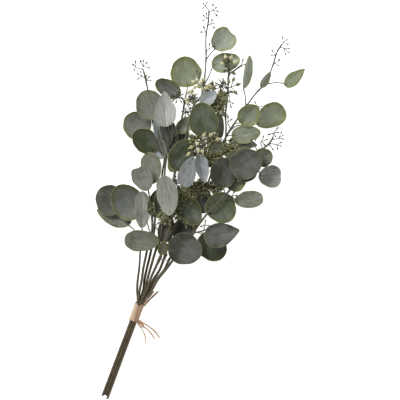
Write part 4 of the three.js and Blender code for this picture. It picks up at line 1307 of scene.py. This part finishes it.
def make_wrap():
    points, places, bleaching, rings = [], [], [], []
    half = TIE_LENGTH / 2 - WRAP_TRIM
    stations = [(i / WRAP_ALONG, True) for i in range(WRAP_ALONG + 1)]
    stations += [(share, False) for share, _ in stations[::-1]]
    for share, outside in stations:
        rings.append(range(len(points), len(points) + WRAP_ROUND))
        for turn in turns_round(WRAP_ROUND):
            low = torn_edge(turn, LOW_EDGE) - half - WRAP_DROP
            high = torn_edge(turn, HIGH_EDGE) + half - NOTCH_DEPTH * near(turn, TURN / 4, NOTCH_WIDTH)
            y = low + (high - low) * share
            radius = wrap_radius(turn, share) if outside else WRAP_INNER
            z = max(BUNDLE_HEIGHT + radius * math.sin(turn), OUTER_REST if outside else INNER_REST)
            points.append(Vector((radius * math.cos(turn), y, z)))
            places.append((y * FIBRE_STRETCH * MM, turn * WRAP_OUTER * MM, 0))
            # paleness with painted light on the left and painted shade in the fold
            bleaching.append(wrap_bleaching(turn, share))
    faces = skin_faces(rings + rings[:1], flip=True)
    return make_mesh("raffia_wrap", points, faces=faces, fibre_place=places, bleaching=bleaching)


add_piece("raffia_wrap", make_wrap(), raffia_material, "tie")

# %% [markdown]
# The knot's loop and the loose ends are flat torn strips. Each is a few threads that lie side by side and
# part near the tip, which is how raffia frays. A strip is its width, how bleached it is at its root and its
# tip, how far it frays, and its route.

# %% Strips and threads
STRIPS = (
    (1.7, (0.6, 0.8), 0.6, ((143, 306, 8), (148.3, 298.5, 8.5), (153.5, 291.2, 8))),
    (1.3, (0.55, 0), 0.2, ((143.4, 307, 5.5), (150.5, 299, 4.5), (158.5, 291.6, 3))),
    (1.4, (0.35, 0.85), 1.4, (
        (137, 320, 8), (143, 323.5, 7.5), (150, 328, 6), (155, 332.5, 5), (159.8, 339, 4))),
    (1.3, (0.4, 0.85), 1.1, ((137.8, 322.5, 5), (143.3, 327.3, 5), (149, 331.8, 4), (154.5, 340, 3))),
    (1.1, (0.55, 0.85), 0.4, (
        (137, 322, 6.5), (139.8, 327.5, 5.5), (142.6, 331.6, 5), (144.8, 337, 4), (144.5, 345.5, 3))),
    (1.3, (0.5, 0.5), 0, (
        (136.8, 321.5, 8), (138.6, 325.5, 7.5), (141.3, 327.7, 7), (143.2, 326.4, 7), (141, 323.6, 7.5),
        (138, 321.2, 8))),
)
THREAD_SHARE = 0.45
FRAY_START, FRAY_CURVE = 0.68, 1.5
SWAY_MM, SWAY_WAVES, LANE_PHASE = 0.35, 9, 2


def thread_path(path, width, fray, lane):
    last = len(path) - 1
    threaded = []
    for i, point in enumerate(path):
        share = i / last
        along = path[min(i + 1, last)] - path[max(i - 1, 0)]
        side = along.cross(UP).normalized()
        parted = 1 + fray * (max(0, share - FRAY_START) / (1 - FRAY_START)) ** FRAY_CURVE
        sway = SWAY_MM * share * math.sin(SWAY_WAVES * share + LANE_PHASE * lane)
        threaded.append(point + side * (lane * width * THREAD_SHARE * parted + sway))
    return threaded


for width, _, fray, route in STRIPS:
    print("a strip", width, "mm wide runs over", len(route), "places and frays", fray)

# %% [markdown]
# A thread is swept along its own path with a flat oval section that twists a little, and both of its ends
# close to a point.

# %% Knot and loose ends
STRIP_THICK = 0.32
STRIP_SIDES = 8
THREADS = 3
THREAD_STEP = 1.2
TWIST, TWIST_PACE = 0.35, 0.35


def sweep_thread(path, half_width, seed, points, places):
    last = len(path) - 1
    runs = running_lengths(path)
    rings = []
    side = UP.cross(path[1] - path[0]).normalized()
    for i, point in enumerate(path):
        along = (path[min(i + 1, last)] - path[max(i - 1, 0)]).normalized()
        side = (side - along * side.dot(along)).normalized()
        flat = Matrix.Rotation(TWIST * math.sin(runs[i] * TWIST_PACE + seed), 3, along) @ side
        top = along.cross(flat)
        closed = i in (0, last)
        rings.append(range(len(points), len(points) + (1 if closed else STRIP_SIDES)))
        for k in range(len(rings[-1])):
            turn = TURN * (k + 0.5) / STRIP_SIDES
            across = 0 if closed else half_width * math.cos(turn)
            rise = 0 if closed else STRIP_THICK * math.sin(turn)
            points.append(point + flat * across + top * rise)
            places.append((runs[i] * FIBRE_STRETCH * MM, across * MM, seed * MM))
    return rings


def make_loose_ends():
    points, places, bleaching, faces = [], [], [], []
    for number, (width, bleached, fray, route) in enumerate(STRIPS):
        path = smooth_points([place_at(place) for place in route], THREAD_STEP)
        for thread in range(THREADS):
            threaded = thread_path(path, width, fray, thread - (THREADS - 1) / 2)
            rings = sweep_thread(threaded, width * THREAD_SHARE, number * THREADS + thread, points, places)
            faces += skin_faces(rings)
            for ring, paleness in zip(rings, tapered(path, *bleached)):
                bleaching += [paleness] * len(ring)
    return make_mesh("raffia_ends", points, faces=faces, fibre_place=places, bleaching=bleaching)


add_piece("raffia_ends", make_loose_ends(), raffia_material, "tie")

# %% [markdown]
# The table is plain white and lit so evenly that the photograph shows no shadow on it. A white surface
# that gives a good deal of light of its own does that, under a bright sky. One large soft sun comes from
# the upper left of the picture, and gives the leaves their lighter and darker sides.

# %% Table and light
TABLE_REACH_MM, TABLE_DROP_MM = 4000, 0.5
TABLE_COLOUR = "#f8f8f8"
TABLE_GLOW = 0.75
SKY_LIGHT = 0.45
SUN_LIGHT, SUN_WIDTH_DEG = 2.4, 25
SUN_ASIDE, SUN_HEIGHT = 0.45, 0.8
WHITE = (1, 1, 1, 1)

corners = [Vector((x, y, 0)) * TABLE_REACH_MM for x, y in ((-1, -1), (1, -1), (1, 1), (-1, 1))]
table = put_in_scene("white_table", make_mesh("white_table", corners, faces=[(0, 1, 2, 3)]))
table.location.z = -TABLE_DROP_MM * MM
table_material, tree = new_material("white_card")
card = add_node(tree, "ShaderNodeBsdfPrincipled", {
    "Base Color": TABLE_COLOUR, "Roughness": 0.9, "Emission Color": WHITE, "Emission Strength": TABLE_GLOW})
add_node(tree, "ShaderNodeOutputMaterial", {"Surface": card})
table.data.materials.append(table_material)

world = bpy.data.worlds.new("soft_studio")
world.use_nodes = True
sky = world.node_tree.nodes["Background"].inputs
sky["Color"].default_value = WHITE
sky["Strength"].default_value = SKY_LIGHT
bpy.context.scene.world = world

sun_data = bpy.data.lights.new("window_light", "SUN")
sun_data.energy = SUN_LIGHT
sun_data.angle = math.radians(SUN_WIDTH_DEG)
sun = put_in_scene("window_light", sun_data)
towards_sun = Matrix.Rotation(LEAN, 3, "Z") @ Vector((-SUN_ASIDE, SUN_ASIDE, SUN_HEIGHT))
sun.rotation_euler = towards_sun.to_track_quat("Z", "Y").to_euler()
bpy.context.scene.view_settings.view_transform = "Standard"
print("the sun shines along", tuple(round(-n, 2) for n in towards_sun))
